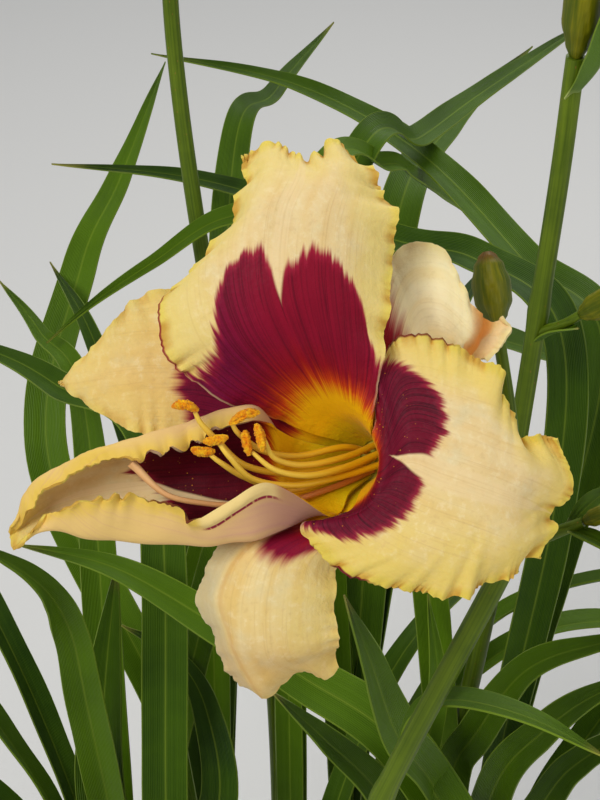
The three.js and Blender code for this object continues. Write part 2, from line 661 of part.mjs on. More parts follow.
/**
 * The six tepals. Each row crosses its tepal from the clockwise margin to the anticlockwise one, and the
 * rows go from the throat to the tip.
 */
const TEPALS = {
  petal_top: {
    azimuth: 92, throat: PETAL_THROAT, ruffle: 1.8, waves: 6.5,
    rows: [
      [[17.5, 29, 2], [7, 31, 6], [-5, 33.5, 9], [-20, 31, 8], [-36, 22.5, 2]],
      [[18.5, 42.5, 4], [6, 46.5, 11], [-9, 47.5, 14], [-26, 49.5, 12], [-42, 43, 5]],
      [[21, 61, 3], [6, 63.5, 11], [-8, 64.5, 13], [-19, 64, 12], [-26.5, 57, 6]],
      [[16, 76, 1], [6, 77, 6], [-4, 75, 8], [-15, 76.5, 6], [-20.5, 72, 3]],
      [[10, 82, -3], [5, 86.5, -3], [-3.5, 81, -1], [-11, 86, -4], [-20.5, 81.5, -3]],
    ],
  },
  petal_right: {
    azimuth: -20, throat: PETAL_THROAT, ruffle: 1.8, waves: 6.5,
    rows: [
      [[-4.5, -19, 0], [14, -14.5, 3], [24, -0.5, 3], [23.5, 15.5, 2], [19.5, 31.5, -4]],
      [[8.5, -30.5, 4], [24.5, -21.5, 8], [33.5, -3.5, 8], [35.5, 15, 7], [36.5, 31.5, -1]],
      [[32, -36.5, 4], [37.5, -24, 9], [44, -7, 9], [45.5, 9, 8], [49, 23, 1]],
      [[50.5, -31.5, 1], [52.5, -22.5, 6], [54.5, -11, 5], [56.5, 0, 6], [52, 8.5, 1]],
      [[58.5, -25.5, -2], [64.5, -18.5, -3], [63, -14.5, -5], [69, -8, -2], [64, 6, -1]],
    ],
  },
  petal_left: {
    azimuth: 212, throat: PETAL_THROAT, ruffle: 1.2, waves: 5,
    rows: [
      [
        [-17.5, 11, 2], [-16.5, 14, -2], [-15, 5, -10], [-14, -5.5, -14], [-12.5, -14.5, -10],
        [-12.5, -19.5, 1], [-14.5, -5.5, 10],
      ],
      [
        [-29.5, 6.5, 5.2], [-29.5, 12, 1.8], [-29, 4, -6], [-28.5, -6, -11], [-26, -15.5, -7],
        [-25.5, -22, 3], [-30.5, -15, 11],
      ],
      [
        [-43, 1.5, 8], [-45, 7, 4], [-44.5, 0.5, -5], [-44, -7, -9], [-42.5, -16, -5], [-41, -22, 4],
        [-40.5, -11, 11],
      ],
      [
        [-58, 0, 10], [-60, 2.5, 7], [-60, -3, -4], [-59, -9, -7], [-58.5, -16, -4], [-57, -20.5, 5],
        [-54.5, -9, 11],
      ],
      [
        [-72, -8.5, 8], [-74.5, -5, 6], [-73.5, -9.5, 0], [-73, -13, -3], [-72, -16, 0],
        [-71.5, -18.5, 6], [-68, -12.5, 9],
      ],
      [
        [-81.5, -18.5, 4], [-82.5, -17.5, 4], [-83, -19, 3], [-83, -20.5, 2], [-82.5, -21.8, 3],
        [-82, -23, 4], [-80.5, -22, 5],
      ],
    ],
  },
  sepal_upper_left: {
    azimuth: 152, throat: SEPAL_THROAT, ruffle: 0.8, waves: 4.5,
    rows: [
      [[-31.5, 44.5, -19], [-30, 34.5, -17], [-28.5, 23, -16], [-27.5, 12, -19], [-26, 1.5, -22]],
      [[-50, 45.5, -20], [-47, 37, -17], [-45.5, 25, -16], [-44.5, 15, -18], [-44.5, 5.5, -21]],
      [[-60, 34.5, -20], [-61, 29, -19], [-59.5, 23.5, -18], [-59, 17, -19], [-58.5, 10.5, -21]],
      [[-73, 22.2, -24], [-73.5, 21.7, -24], [-74, 21.2, -24], [-73.5, 20.7, -24], [-73, 20.2, -24]],
    ],
  },
  sepal_upper_right: {
    azimuth: 32, throat: SEPAL_THROAT, ruffle: 0.6, waves: 4.5,
    rows: [
      [[32, 19.5, -19], [28.5, 29.5, -15], [25.5, 39, -13], [23.5, 48, -13], [21, 57.5, -15]],
      [[37.5, 25, -15], [35.5, 33.5, -12], [33.5, 43, -10], [34, 50.5, -11], [36, 56.5, -14]],
      [[39.5, 30.5, -9], [41, 32.5, -7], [42, 35.5, -6], [42, 39.5, -6], [41.5, 43, -8]],
      [[42, 29, -15], [44, 31, -15], [45.5, 33.5, -15], [47.5, 35.5, -15], [48.5, 38, -15]],
      [[47, 27, -12], [50, 30, -11], [52.5, 33, -11], [53.5, 36, -12], [51.5, 39.5, -13]],
    ],
  },
  sepal_lower: {
    azimuth: 272, throat: SEPAL_THROAT, ruffle: 0.8, waves: 4.5,
    rows: [
      [[-24.5, -22.5, -9], [-16.5, -23.5, -3], [-9, -25, -3], [-1.5, -27, -4], [6, -28.5, -8]],
      [[-33, -36.5, -12], [-24.5, -36, -2], [-13.5, -36.5, 0], [-4.5, -38, -2], [4.5, -38.5, -7]],
      [[-28.5, -51.5, -16], [-22, -50.5, -5], [-13.5, -51.5, -4], [-4.5, -51.5, -6], [5.5, -49, -10]],
      [[-22.5, -63.5, -22], [-17, -62.5, -14], [-9.5, -58.5, -13], [-2, -57, -14], [5.5, -54, -17]],
      [[-18.5, -67, -27], [-14.5, -68, -22], [-5, -60.5, -22], [2.5, -62.5, -22], [5.5, -58.5, -21]],
    ],
  },
};

const TEPAL_LENGTHS = { petal: 18, sepal: 13 };      // quads along a tepal
const QUADS_PER_GUIDE = 2;                            // and across it, between two guide points

/** A smooth curve through evenly spaced points, x from 0 to their number less one. */
function through(points, x) {
  const i = Math.min(Math.floor(x), points.length - 2);
  const f = x - i;
  const from = points[i];
  const to = points[i + 1];
  const before = i > 0 ? points[i - 1] : from.clone().multiplyScalar(2).sub(to);
  const after = i + 2 < points.length ? points[i + 2] : to.clone().multiplyScalar(2).sub(from);
  const leaving = to.clone().sub(before).multiplyScalar(0.5);
  const arriving = after.clone().sub(from).multiplyScalar(0.5);
  return from.clone().multiplyScalar(2 * f ** 3 - 3 * f ** 2 + 1)
    .addScaledVector(leaving, f ** 3 - 2 * f ** 2 + f)
    .addScaledVector(to, -2 * f ** 3 + 3 * f ** 2)
    .addScaledVector(arriving, f ** 3 - f ** 2);
}

/** How far the crinkled margin stands off the tepal's smooth face, v from -1 to 1 across it. */
function ruffleHeight({ ruffle, waves }, t, v) {
  const opening = THREE.MathUtils.clamp((t - 0.25) / 0.2, 0, 1);
  const phase = 2 * Math.PI * (waves * t + (v > 0 ? 0.37 : 0));
  return ruffle * opening * v ** 4 * Math.sin(phase + 1.3 * Math.sin(0.37 * phase));
}

/** A tepal of even thickness: both faces split into triangles alike, and closed round its margin. */
function tepalGeometry(tepal, long) {
  const guides = tepal.rows[0].length;
  const centre = (guides - 1) / 2;
  const net = [
    ...tepal.throat.map(([along, radius, half]) => Array.from({ length: guides }, (_, j) => (
      throatPoint(along, radius, tepal.azimuth + ((j - centre) / centre) * half)
    ))),
    ...tepal.rows.map((row) => row.map(at)),
  ];
  const wide = QUADS_PER_GUIDE * (guides - 1);
  const face = [];
  for (let i = 0; i <= long; i += 1) {
    const line = net[0].map((_, j) => through(net.map((row) => row[j]), (i / long) * (net.length - 1)));
    face.push(Array.from({ length: wide + 1 }, (_, j) => through(line, j / QUADS_PER_GUIDE)));
  }
  const normals = face.map((row, i) => row.map((_, j) => {
    const alongFace = face[Math.min(i + 1, long)][j].clone().sub(face[Math.max(i - 1, 0)][j]);
    const acrossFace = row[Math.min(j + 1, wide)].clone().sub(row[Math.max(j - 1, 0)]);
    return acrossFace.cross(alongFace).normalize();
  }));
  const corners = [];
  for (const offset of [TEPAL_THICKNESS / 2, -TEPAL_THICKNESS / 2]) {
    face.forEach((row, i) => row.forEach((p, j) => {
      const stand = offset + ruffleHeight(tepal, i / long, (2 * j) / wide - 1);
      const corner = p.clone().addScaledVector(normals[i][j], stand);
      corners.push(corner.x, corner.y, corner.z);
    }));
  }
  const index = (i, j) => i * (wide + 1) + j;
  const back = (long + 1) * (wide + 1);
  const triangles = [];
  for (let i = 0; i < long; i += 1) {
    for (let j = 0; j < wide; j += 1) {
      const [a, b, c, d] = [index(i, j), index(i, j + 1), index(i + 1, j + 1), index(i + 1, j)];
      triangles.push(a, b, c, a, c, d, a + back, c + back, b + back, a + back, d + back, c + back);
    }
  }
  const wall = (a, b) => triangles.push(b, a, a + back, b, a + back, b + back);
  for (let j = 0; j < wide; j += 1) {
    wall(index(0, j), index(0, j + 1));
    wall(index(long, j + 1), index(long, j));
  }
  for (let i = 0; i < long; i += 1) {
    wall(index(i, wide), index(i + 1, wide));
    wall(index(i + 1, 0), index(i, 0));
  }
  return solidGeometry(corners, triangles);
}

/** The floral tube: the swollen ovary at its foot, widening to the dish that the tepals stand in. */
function tubeGeometry() {
  const profile = [
    [TUBE_FOOT, 3.2], [TUBE_FOOT + 6, 4.3], [TUBE_FOOT + 13, 3.4], [TUBE_TOP - 10, 4.6], [TUBE_TOP, 8.6],
  ];
  const rings = profile.map(([along, radius]) => (
    Array.from({ length: 14 }, (_, j) => throatPoint(along, radius, (360 * j) / 14))
  ));
  return loftRings(rings);
}

const FILAMENT_RADIUS = 0.8;
const ANTHER_RADIUS = 1.25;
const STYLE_RADIUS = 0.9;
const STAMEN_FOOT = -27.6;       // along the throat's axis
const PISTIL_FOOT = -27.4;
const STAMEN_RING = 3.4;

// Each stamen: the azimuth and ring radius of its foot, its filament's points and its anther's.
const STAMENS = [
  {
    foot: [90, STAMEN_RING],
    filament: [[8, 0.5, -13], [-3.5, -1.5, -4], [-11.5, 0.5, 2.5], [-14.6, 6, 7.2]],
    anther: [[-16.6, 10, 8.8], [-15.4, 6.6, 8.4], [-14.8, 2.5, 8.2]],
  },
  {
    foot: [30, STAMEN_RING],
    filament: [[8, -2.2, -10.5], [-2.5, -4.2, -1.5], [-11.5, -2.5, 4.2], [-17.8, 2.4, 6]],
    anther: [[-19.6, 8.2, 6.8], [-19.2, 5.5, 6.8], [-18.4, 1.4, 6.8]],
  },
  {
    foot: [150, STAMEN_RING],
    filament: [[7, 3, -16], [-5.5, 0.8, -9], [-15, 2.5, -1.5], [-21, 7, 5], [-23, 10, 8.3]],
    anther: [[-23.5, 9.8, 9.8], [-19.5, 12.4, 11], [-15.5, 13, 10]],
  },
  {
    foot: [-30, STAMEN_RING],
    filament: [[6, -5, -10.5], [-6.5, -7, -3], [-17.5, -5, 3.2], [-23.5, 1, 8.2], [-26.5, 5, 9.5]],
    anther: [[-30.5, 5.2, 9.5], [-27.5, 5.5, 10.3], [-23.8, 6.5, 10.5]],
  },
  {
    foot: [0, 0],
    filament: [[4.5, -5.2, -13.5], [-9, -8.6, -7], [-20, -4.5, 0], [-26, -0.6, 4.3], [-29.5, 2.2, 5.5]],
    anther: [[-34, 3.2, 5], [-31, 2.4, 5.6], [-27.5, 2.6, 5.6]],
  },
  {
    foot: [210, STAMEN_RING],
    filament: [
      [5.5, -3, -16.5], [-8.5, -4, -8.5], [-20, -1.2, 1.8], [-27, 5.5, 6.5], [-31, 10, 10],
      [-32.5, 13, 12],
    ],
    anther: [[-38.5, 14.5, 13], [-35, 15, 14], [-31.5, 13.5, 13]],
  },
];

const PISTIL = {
  foot: [-95, 3.6],
  style: [
    [6, -7.5, -15], [-8, -11.5, -7.5], [-20, -12.3, -3.5], [-30, -11.8, -0.5], [-41, -9, 3],
    [-50, -0.5, 5],
  ],
};

/** A filament with its anther, grown as one. */
function stamenGeometry({ foot: [azimuth, ring], filament, anther }) {
  const path = [throatPoint(STAMEN_FOOT, ring, azimuth), ...filament.map(at)];
  return fuse([
    stem(path, [FILAMENT_RADIUS, FILAMENT_RADIUS], 5, 2 * (path.length - 1)),
    stem(anther.map(at), [0.6 * ANTHER_RADIUS, ANTHER_RADIUS, ANTHER_RADIUS, 0.6 * ANTHER_RADIUS], 6, 4),
  ]);
}

function pistilGeometry({ foot: [azimuth, ring], style }) {
  const path = [throatPoint(PISTIL_FOOT, ring, azimuth), ...style.map(at)];
  const radii = [1, 1, 0.85, 0.85, 1.4].map((share) => share * STYLE_RADIUS);
  return stem(path, radii, 6, 14);
}

// ---------------------------------------------------------------- the plant

const BLOOM_CLEARANCE = 92;      // grown leaves stay this far from the middle of the bloom

function mesh(name, geometry, finish) {
  const result = new THREE.Mesh(geometry, new THREE.MeshStandardMaterial(MATERIALS[finish]));
  result.name = name;
  return result;
}

const plant = new THREE.Group();

const scapes = Object.entries(SCAPES);
const standing = [
  ...scapes.map(([name, scape]) => occupied(scape.stem.points.map(at), scape.stem.radii[0], name)),
  { owner: 'bloom', half: BLOOM_CLEARANCE, samples: [BLOOM_CENTRE] },
  {
    owner: 'pot', half: 6,
    samples: Array.from({ length: 48 }, (_, i) => new THREE.Vector3(
      (POT_TOP_RADIUS - RIM_STEP) * Math.cos((2 * Math.PI * i) / 48),
      (POT_TOP_RADIUS - RIM_STEP) * Math.sin((2 * Math.PI * i) / 48),
      POT_HEIGHT,
    )),
  },
];

plant.add(mesh('pot', potGeometry(), 'pot'));
plant.add(mesh('soil', soilGeometry([
  ...FANS.map((fan) => crownHole(fan)),
  ...scapes.map(([, scape]) => scapeHole(scape)),
]), 'soil'));

for (const [fan, blades] of leavesByFan(standing)) {
  plant.add(mesh(fan.name, fuse([crownGeometry(fan), ...blades.map(leafBlade)]), 'leaf'));
}
for (const [name, scape] of scapes) {
  plant.add(mesh(name, scapeGeometry(scape), 'scape'));
  const budded = [scape.stem, ...scape.branches].filter((branch) => branch.bud);
  for (const branch of budded) plant.add(mesh(branch.bud.name, budGeometry(branch), 'bud'));
}

const bloom = new THREE.Group();
bloom.position.copy(BLOOM_CENTRE);
bloom.rotation.x = radians(BLOOM_PITCH);
bloom.add(mesh('floral_tube', tubeGeometry(), 'scape'));
for (const [name, tepal] of Object.entries(TEPALS)) {
  const kind = name.startsWith('petal') ? 'petal' : 'sepal';
  bloom.add(mesh(name, tepalGeometry(tepal, TEPAL_LENGTHS[kind]), kind));
}
STAMENS.forEach((stamen, i) => bloom.add(mesh(`stamen_${i + 1}`, stamenGeometry(stamen), 'stamen')));
bloom.add(mesh('pistil', pistilGeometry(PISTIL), 'pistil'));
plant.add(bloom);

export default plant;
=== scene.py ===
"""A potted daylily: seven fans of strap leaves, three flower scapes, their buds and one open bloom.

Sizes in the tables are millimetres in the plant's own frame: +Z up, the middle of the pot's underside at
the origin, the open bloom leaning towards -Y. Meshes are made in metres.
"""

import logging
import math
from collections.abc import Callable, Iterable, Sequence
from dataclasses import dataclass, field
from enum import Enum

import bpy
import numpy as np
from mathutils import Matrix, Vector, noise


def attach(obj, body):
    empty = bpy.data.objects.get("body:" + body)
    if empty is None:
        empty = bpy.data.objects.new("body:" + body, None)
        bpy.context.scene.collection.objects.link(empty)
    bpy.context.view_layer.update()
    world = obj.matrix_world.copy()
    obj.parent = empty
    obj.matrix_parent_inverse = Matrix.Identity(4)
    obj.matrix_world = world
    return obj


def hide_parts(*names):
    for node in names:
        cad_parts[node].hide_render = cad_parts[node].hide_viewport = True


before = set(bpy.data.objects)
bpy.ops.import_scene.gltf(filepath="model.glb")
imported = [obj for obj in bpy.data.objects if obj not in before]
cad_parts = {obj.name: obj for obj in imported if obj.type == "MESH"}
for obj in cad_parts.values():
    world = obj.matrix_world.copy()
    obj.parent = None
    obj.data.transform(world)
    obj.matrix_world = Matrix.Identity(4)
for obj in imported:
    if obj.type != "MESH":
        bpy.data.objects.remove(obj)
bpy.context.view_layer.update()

log = logging.getLogger("daylily")

MM = 0.001
UP = Vector((0, 0, 1))
TURN = 2 * math.pi

Triple = tuple[float, float, float]
Pair = tuple[float, float]
Rows = list[list[Vector]]
Socket = bpy.types.NodeSocket
Piece = bpy.types.Object
Finish = bpy.types.Material
Marks = dict[str, list[list[float]]]        # what a finish reads: a number for every place of a net


# ---------------------------------------------------------------- curves, chance and meshes


def through(points: Sequence[Vector], x: float) -> Vector:
    """Follows a smooth curve through evenly spaced points.

    Args:
        points: The places that the curve passes, in order.
        x: How far along it, from 0 to the number of points less one.

    Returns:
        The place on the curve.
    """
    i = min(max(int(math.floor(x)), 0), len(points) - 2)
    f = x - i
    start, end = points[i], points[i + 1]
    before = points[i - 1] if i > 0 else 2 * start - end
    after = points[i + 2] if i + 2 < len(points) else 2 * end - start
    leaving, arriving = (end - before) / 2, (after - start) / 2
    return (
        start * (2 * f**3 - 3 * f**2 + 1)
        + leaving * (f**3 - 2 * f**2 + f)
        + end * (-2 * f**3 + 3 * f**2)
        + arriving * (f**3 - f**2)
    )


@dataclass
class Spline:
    """A smooth curve through a few points."""

    points: Sequence[Vector]

    def point(self, share: float) -> Vector:
        """Gives the place at a share of the way, from 0 to 1."""
        return through(self.points, share * (len(self.points) - 1))

    def tangent(self, share: float) -> Vector:
        """Gives the unit direction at a share of the way."""
        step = 1e-3
        return (self.point(min(share + step, 1)) - self.point(max(share - step, 0))).normalized()


def blend(values: Sequence[float], share: float) -> float:
    """Blends along evenly spaced values.

    Args:
        values: The values, in order.
        share: How far along them, from 0 to 1.

    Returns:
        The value there, on a straight line between its neighbours.
    """
    x = min(max(share, 0.0), 1.0) * (len(values) - 1)
    i = min(int(x), len(values) - 2)
    return values[i] + (values[i + 1] - values[i]) * (x - i)


def ease(x: float, start: float, end: float) -> float:
    """Rises smoothly from 0 at the start to 1 at the end."""
    f = min(max((x - start) / (end - start), 0.0), 1.0)
    return f * f * (3 - 2 * f)


def vectors(points: Iterable[Sequence[float]]) -> list[Vector]:
    """Turns rows of three numbers into vectors."""
    return [Vector(p) for p in points]


def perpendicular(direction: Vector) -> Vector:
    """Gives a unit vector at right angles to a direction."""
    helper = Vector((1, 0, 0)) if abs(direction.x) < 0.9 else Vector((0, 1, 0))
    return helper.cross(direction).normalized()


@dataclass
class Chance:
    """A repeatable run of numbers."""

    state: int

    def draw(self) -> float:
        """Draws the next number, from 0 to 1."""
        self.state = (self.state * 1664525 + 1013904223) % 4294967296
        return self.state / 4294967296

    def between(self, low: float, high: float) -> float:
        """Draws a number between two bounds."""
        return low + (high - low) * self.draw()


class Workbench:
    """The few ways in which every mesh of the plant is laid, closed and joined."""

    @staticmethod
    def clear() -> None:
        """Deselects every object."""
        bpy.ops.object.select_all(action="DESELECT")

    @classmethod
    def choose(cls, pieces: Sequence[Piece]) -> None:
        """Selects some pieces and makes the first of them active."""
        cls.clear()
        for piece in pieces:
            piece.select_set(True)
        bpy.context.view_layer.objects.active = pieces[0]

    @classmethod
    def net(cls, name: str, rows: Rows, marks: Marks | None = None) -> Piece:
        """Adds a grid and lays it on rows of points.

        Args:
            name: The new piece's name.
            rows: Equal rows of places in millimetres. The map runs 0 to 1 across a row and 0 to 1 over them.
            marks: Values that the finish reads, each with a row of numbers for every row of places.

        Returns:
            The sheet, one face thick.
        """
        across, along = len(rows[0]) - 1, len(rows) - 1
        cls.clear()
        bpy.ops.mesh.primitive_grid_add(x_subdivisions=across, y_subdivisions=along, size=2)
        piece = bpy.context.object
        piece.name = piece.data.name = name
        spots = [
            (round((vertex.co.y + 1) / 2 * along), round((vertex.co.x + 1) / 2 * across))
            for vertex in piece.data.vertices
        ]
        for vertex, (i, j) in zip(piece.data.vertices, spots):
            vertex.co = rows[i][j] * MM
        for label, values in (marks or {}).items():
            mark = piece.data.attributes.new(label, "FLOAT", "POINT")
            mark.data.foreach_set("value", [values[i][j] for i, j in spots])
        return piece

    @classmethod
    def weld(cls, piece: Piece) -> Piece:
        """Closes the seam and the ends of a wrapped net and turns its faces outwards."""
        cls.choose([piece])
        bpy.ops.object.mode_set(mode="EDIT")
        bpy.ops.mesh.select_all(action="SELECT")
        bpy.ops.mesh.remove_doubles(threshold=1e-6)
        bpy.ops.mesh.normals_make_consistent(inside=False)
        bpy.ops.object.mode_set(mode="OBJECT")
        return piece

    @classmethod
    def flip(cls, piece: Piece) -> Piece:
        """Turns a sheet's faces the other way."""
        cls.choose([piece])
        bpy.ops.object.mode_set(mode="EDIT")
        bpy.ops.mesh.select_all(action="SELECT")
        bpy.ops.mesh.flip_normals()
        bpy.ops.object.mode_set(mode="OBJECT")
        return piece

    @classmethod
    def join(cls, name: str, parts: Sequence[Piece]) -> Piece:
        """Joins pieces into one under a name."""
        cls.choose(parts)
        if len(parts) > 1:
            bpy.ops.object.join()
        piece = bpy.context.view_layer.objects.active
        piece.name = piece.data.name = name
        return piece

    @classmethod
    def thicken(cls, piece: Piece, thickness: float, offset: float) -> Piece:
        """Gives a sheet its thickness, with the second finish on its back.

        Args:
            piece: The sheet, with a finish for its face and one for its back.
            thickness: Millimetres.
            offset: 0 to grow both ways from the sheet, -1 to grow behind it.

        Returns:
            The piece with the thickness applied.
        """
        cls.choose([piece])
        wall = piece.modifiers.new("thickness", "SOLIDIFY")
        wall.thickness = thickness * MM
        wall.offset = offset
        wall.material_offset = 1
        bpy.ops.object.modifier_apply(modifier=wall.name)
        return piece

    @classmethod
    def smooth(cls, piece: Piece, degrees: float) -> Piece:
        """Shades a piece smoothly, apart from edges sharper than an angle."""
        cls.choose([piece])
        bpy.ops.object.shade_smooth_by_angle(angle=math.radians(degrees))
        return piece

    @staticmethod
    def seat(piece: Piece, node: str, slot: str) -> Piece:
        """Puts a piece in the place of a node of the frame.

        Args:
            piece: The finished piece.
            node: The node that it stands for.
            slot: Not used.

        Returns:
            The piece.
        """
        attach(piece, "root")
        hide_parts(node)
        log.info("%s: %d faces", piece.name, len(piece.data.polygons))
        return piece


def capped(rows: Rows, first: Vector, last: Vector) -> Rows:
    """Draws the two ends of a tube's rings together, each to one place."""
    places = len(rows[0])
    return [[first] * places, *rows, [last] * places]


def sweep(
    points: Sequence[Vector],
    radii: Sequence[float],
    sides: int,
    steps: int,
    swell: Callable[[float, float], float] = lambda share, turn: 1.0,
) -> Rows:
    """Lays closed rings along a curve and draws both ends together.

    Args:
        points: The curve's points.
        radii: The radius at each of evenly spaced shares of the way.
        sides: Faces round the tube.
        steps: Rings along it.
        swell: How much larger the radius is at a share of the way and an angle.

    Returns:
        Rows for a net, whose first and last are a single place each.
    """
    path = Spline(points)
    rows: Rows = []
    across: Vector | None = None
    for i in range(steps + 1):
        share = i / steps
        along = path.tangent(share)
        across = perpendicular(along) if across is None else across
        across = (across - along * across.dot(along)).normalized()
        over = along.cross(across)
        centre = path.point(share)
        row = []
        for j in range(sides + 1):
            turn = TURN * (j % sides) / sides
            radius = blend(radii, share) * swell(share, turn)
            row.append(centre + radius * (across * math.cos(turn) + over * math.sin(turn)))
        rows.append(row)
    return capped(rows, path.point(0), path.point(1))


# ---------------------------------------------------------------- finishes


def tint(red: int, green: int, blue: int) -> tuple[float, float, float, float]:
    """Turns a display colour, 0 to 255 each, into the linear colour that shaders take."""

    def linear(value: int) -> float:
        """Takes the display curve off one channel."""
        share = value / 255
        return share / 12.92 if share <= 0.04045 else ((share + 0.055) / 1.055) ** 2.4

    return linear(red), linear(green), linear(blue), 1.0


class Shade:
    """A node material while it is put together."""

    def __init__(self, name: str, **surface: object) -> None:
        """Starts a material.

        Args:
            name: The material's name.
            surface: Plain values for sockets of its surface shader, with _ for the spaces in their names.
        """
        self.material = bpy.data.materials.new(name)
        self.material.use_nodes = True
        self.tree = self.material.node_tree
        self.surface = next(n for n in self.tree.nodes if n.bl_idname == "ShaderNodeBsdfPrincipled")
        for key, value in surface.items():
            self.surface.inputs[key.replace("_", " ")].default_value = value

    def node(self, kind: str, *inputs: object, **settings: object) -> bpy.types.Node:
        """Adds a node.

        Args:
            kind: The node's kind, without the ShaderNode in front.
            inputs: Sockets or plain values for its first inputs. None leaves one alone.
            settings: Its properties.

        Returns:
            The new node.
        """
        new = self.tree.nodes.new("ShaderNode" + kind)
        for key, value in settings.items():
            setattr(new, key, value)
        for i, value in enumerate(inputs):
            self.feed(new.inputs[i], value)
        return new

    def feed(self, socket: Socket, value: object) -> None:
        """Links a socket, or sets a plain value, on an input."""
        if isinstance(value, Socket):
            self.tree.links.new(value, socket)
        elif value is not None:
            socket.default_value = value

    def math(self, operation: str, a: object, b: object = 0.0, clamp: bool = False) -> Socket:
        """Works out one sum.

        Args:
            operation: The sum's name, such as MULTIPLY.
            a: Its first value.
            b: Its second.
            clamp: Whether the result stays between 0 and 1.

        Returns:
            The result.
        """
        return self.node("Math", a, b, operation=operation, use_clamp=clamp).outputs[0]

    def times(self, a: object, b: object, clamp: bool = False) -> Socket:
        """Multiplies two values."""
        return self.math("MULTIPLY", a, b, clamp)

    def plus(self, a: object, b: object, clamp: bool = False) -> Socket:
        """Adds two values."""
        return self.math("ADD", a, b, clamp)

    def minus(self, a: object, b: object) -> Socket:
        """Takes the second value from the first."""
        return self.math("SUBTRACT", a, b)

    def apart(self, a: object, b: object) -> Socket:
        """Gives how far two values are apart."""
        return self.math("ABSOLUTE", self.minus(a, b))

    def step(self, value: object, start: object, end: object, low: float = 0, high: float = 1) -> Socket:
        """Goes smoothly from low at the start to high at the end."""
        return self.node("MapRange", value, start, end, low, high, interpolation_type="SMOOTHSTEP").outputs[0]

    def mix(self, share: object, first: object, second: object, blend_type: str = "MIX") -> Socket:
        """Mixes two colours.

        Args:
            share: How much of the second there is.
            first: The colour underneath.
            second: The colour on top.
            blend_type: How they mix.

        Returns:
            The mixed colour.
        """
        new = self.node("Mix", data_type="RGBA", blend_type=blend_type)
        self.feed(new.inputs[0], share)
        self.feed(new.inputs[6], first)
        self.feed(new.inputs[7], second)
        return new.outputs[2]

    def ramp(self, value: object, stops: Sequence[tuple[float, tuple]]) -> Socket:
        """Turns a value into a colour between stops.

        Args:
            value: From 0 to 1.
            stops: Each a place and its colour.

        Returns:
            The colour.
        """
        new = self.node("ValToRGB", value)
        elements = new.color_ramp.elements
        for place, _ in stops[2:]:
            elements.new(place)
        for element, (place, colour) in zip(elements, stops):
            element.position = place
            element.color = colour
        return new.outputs[0]

    def curve(self, value: object, points: Sequence[Pair]) -> Socket:
        """Follows a drawn curve.

        Args:
            value: From 0 to 1.
            points: The curve's points, from left to right.

        Returns:
            The curve's height at the value.
        """
        new = self.node("FloatCurve", 1.0, value)
        line = new.mapping.curves[0]
        line.points[0].location = points[0]
        line.points[1].location = points[-1]
        for place in points[1:-1]:
            line.points.new(*place)
        new.mapping.update()
        return new.outputs[0]

    def stretched(self, where: Socket, scale: Triple, shift: Triple = (0, 0, 0)) -> Socket:
        """Stretches and shifts coordinates."""
        return self.node("Mapping", where, shift, None, scale).outputs[0]

    def grain(self, where: Socket, scale: float, detail: float = 2.0, roughness: float = 0.5) -> Socket:
        """Gives even noise from 0 to 1 at some coordinates."""
        new = self.node("TexNoise", where)
        new.inputs["Scale"].default_value = scale
        new.inputs["Detail"].default_value = detail
        new.inputs["Roughness"].default_value = roughness
        return new.outputs[0]

    def fibres(self, where: Socket, scale: Triple, detail: float, roughness: float = 0.5,
               shift: Triple = (0, 0, 0)) -> Socket:
        """Gives noise from 0 to 1 that is drawn out along some coordinates."""
        return self.grain(self.stretched(where, scale, shift), 1.0, detail, roughness)

    def map(self) -> Socket:
        """Gives the piece's own map, which runs across and along it."""
        return self.node("UVMap", uv_map="UVMap").outputs[0]

    def place(self) -> Socket:
        """Gives the place in the plant's frame, in metres."""
        return self.node("TexCoord").outputs["Object"]

    def mark(self, label: str) -> Socket:
        """Gives a value that the piece's mesh carries."""
        return self.node("Attribute", attribute_name=label).outputs["Fac"]

    def join(self, first: object, second: object, third: object = 0.0) -> Socket:
        """Joins three numbers into coordinates."""
        return self.node("CombineXYZ", first, second, third).outputs[0]

    def sway(self, value: Socket, reach: float) -> Socket:
        """Turns noise from 0 to 1 into an offset both ways from nothing."""
        return self.times(self.minus(value, 0.5), 2 * reach)

    def split(self, where: Socket) -> tuple[Socket, Socket]:
        """Splits coordinates into the first and the second."""
        new = self.node("SeparateXYZ", where)
        return new.outputs[0], new.outputs[1]

    def wear(self, colour: Socket, roughness: object, heights: Sequence[tuple[Socket, float]]) -> Finish:
        """Puts colour, roughness and relief on the surface.

        Args:
            colour: The base colour.
            roughness: A socket or a plain value.
            heights: Reliefs, each with its height in millimetres.

        Returns:
            The finished material.
        """
        self.feed(self.surface.inputs["Base Color"], colour)
        self.feed(self.surface.inputs["Roughness"], roughness)
        normal: Socket | None = None
        for height, distance in heights:
            relief = self.node("Bump", 1.0, distance * MM)
            self.feed(relief.inputs["Height"], height)
            self.feed(relief.inputs["Normal"], normal)
            normal = relief.outputs[0]
        self.feed(self.surface.inputs["Normal"], normal)
        return self.material


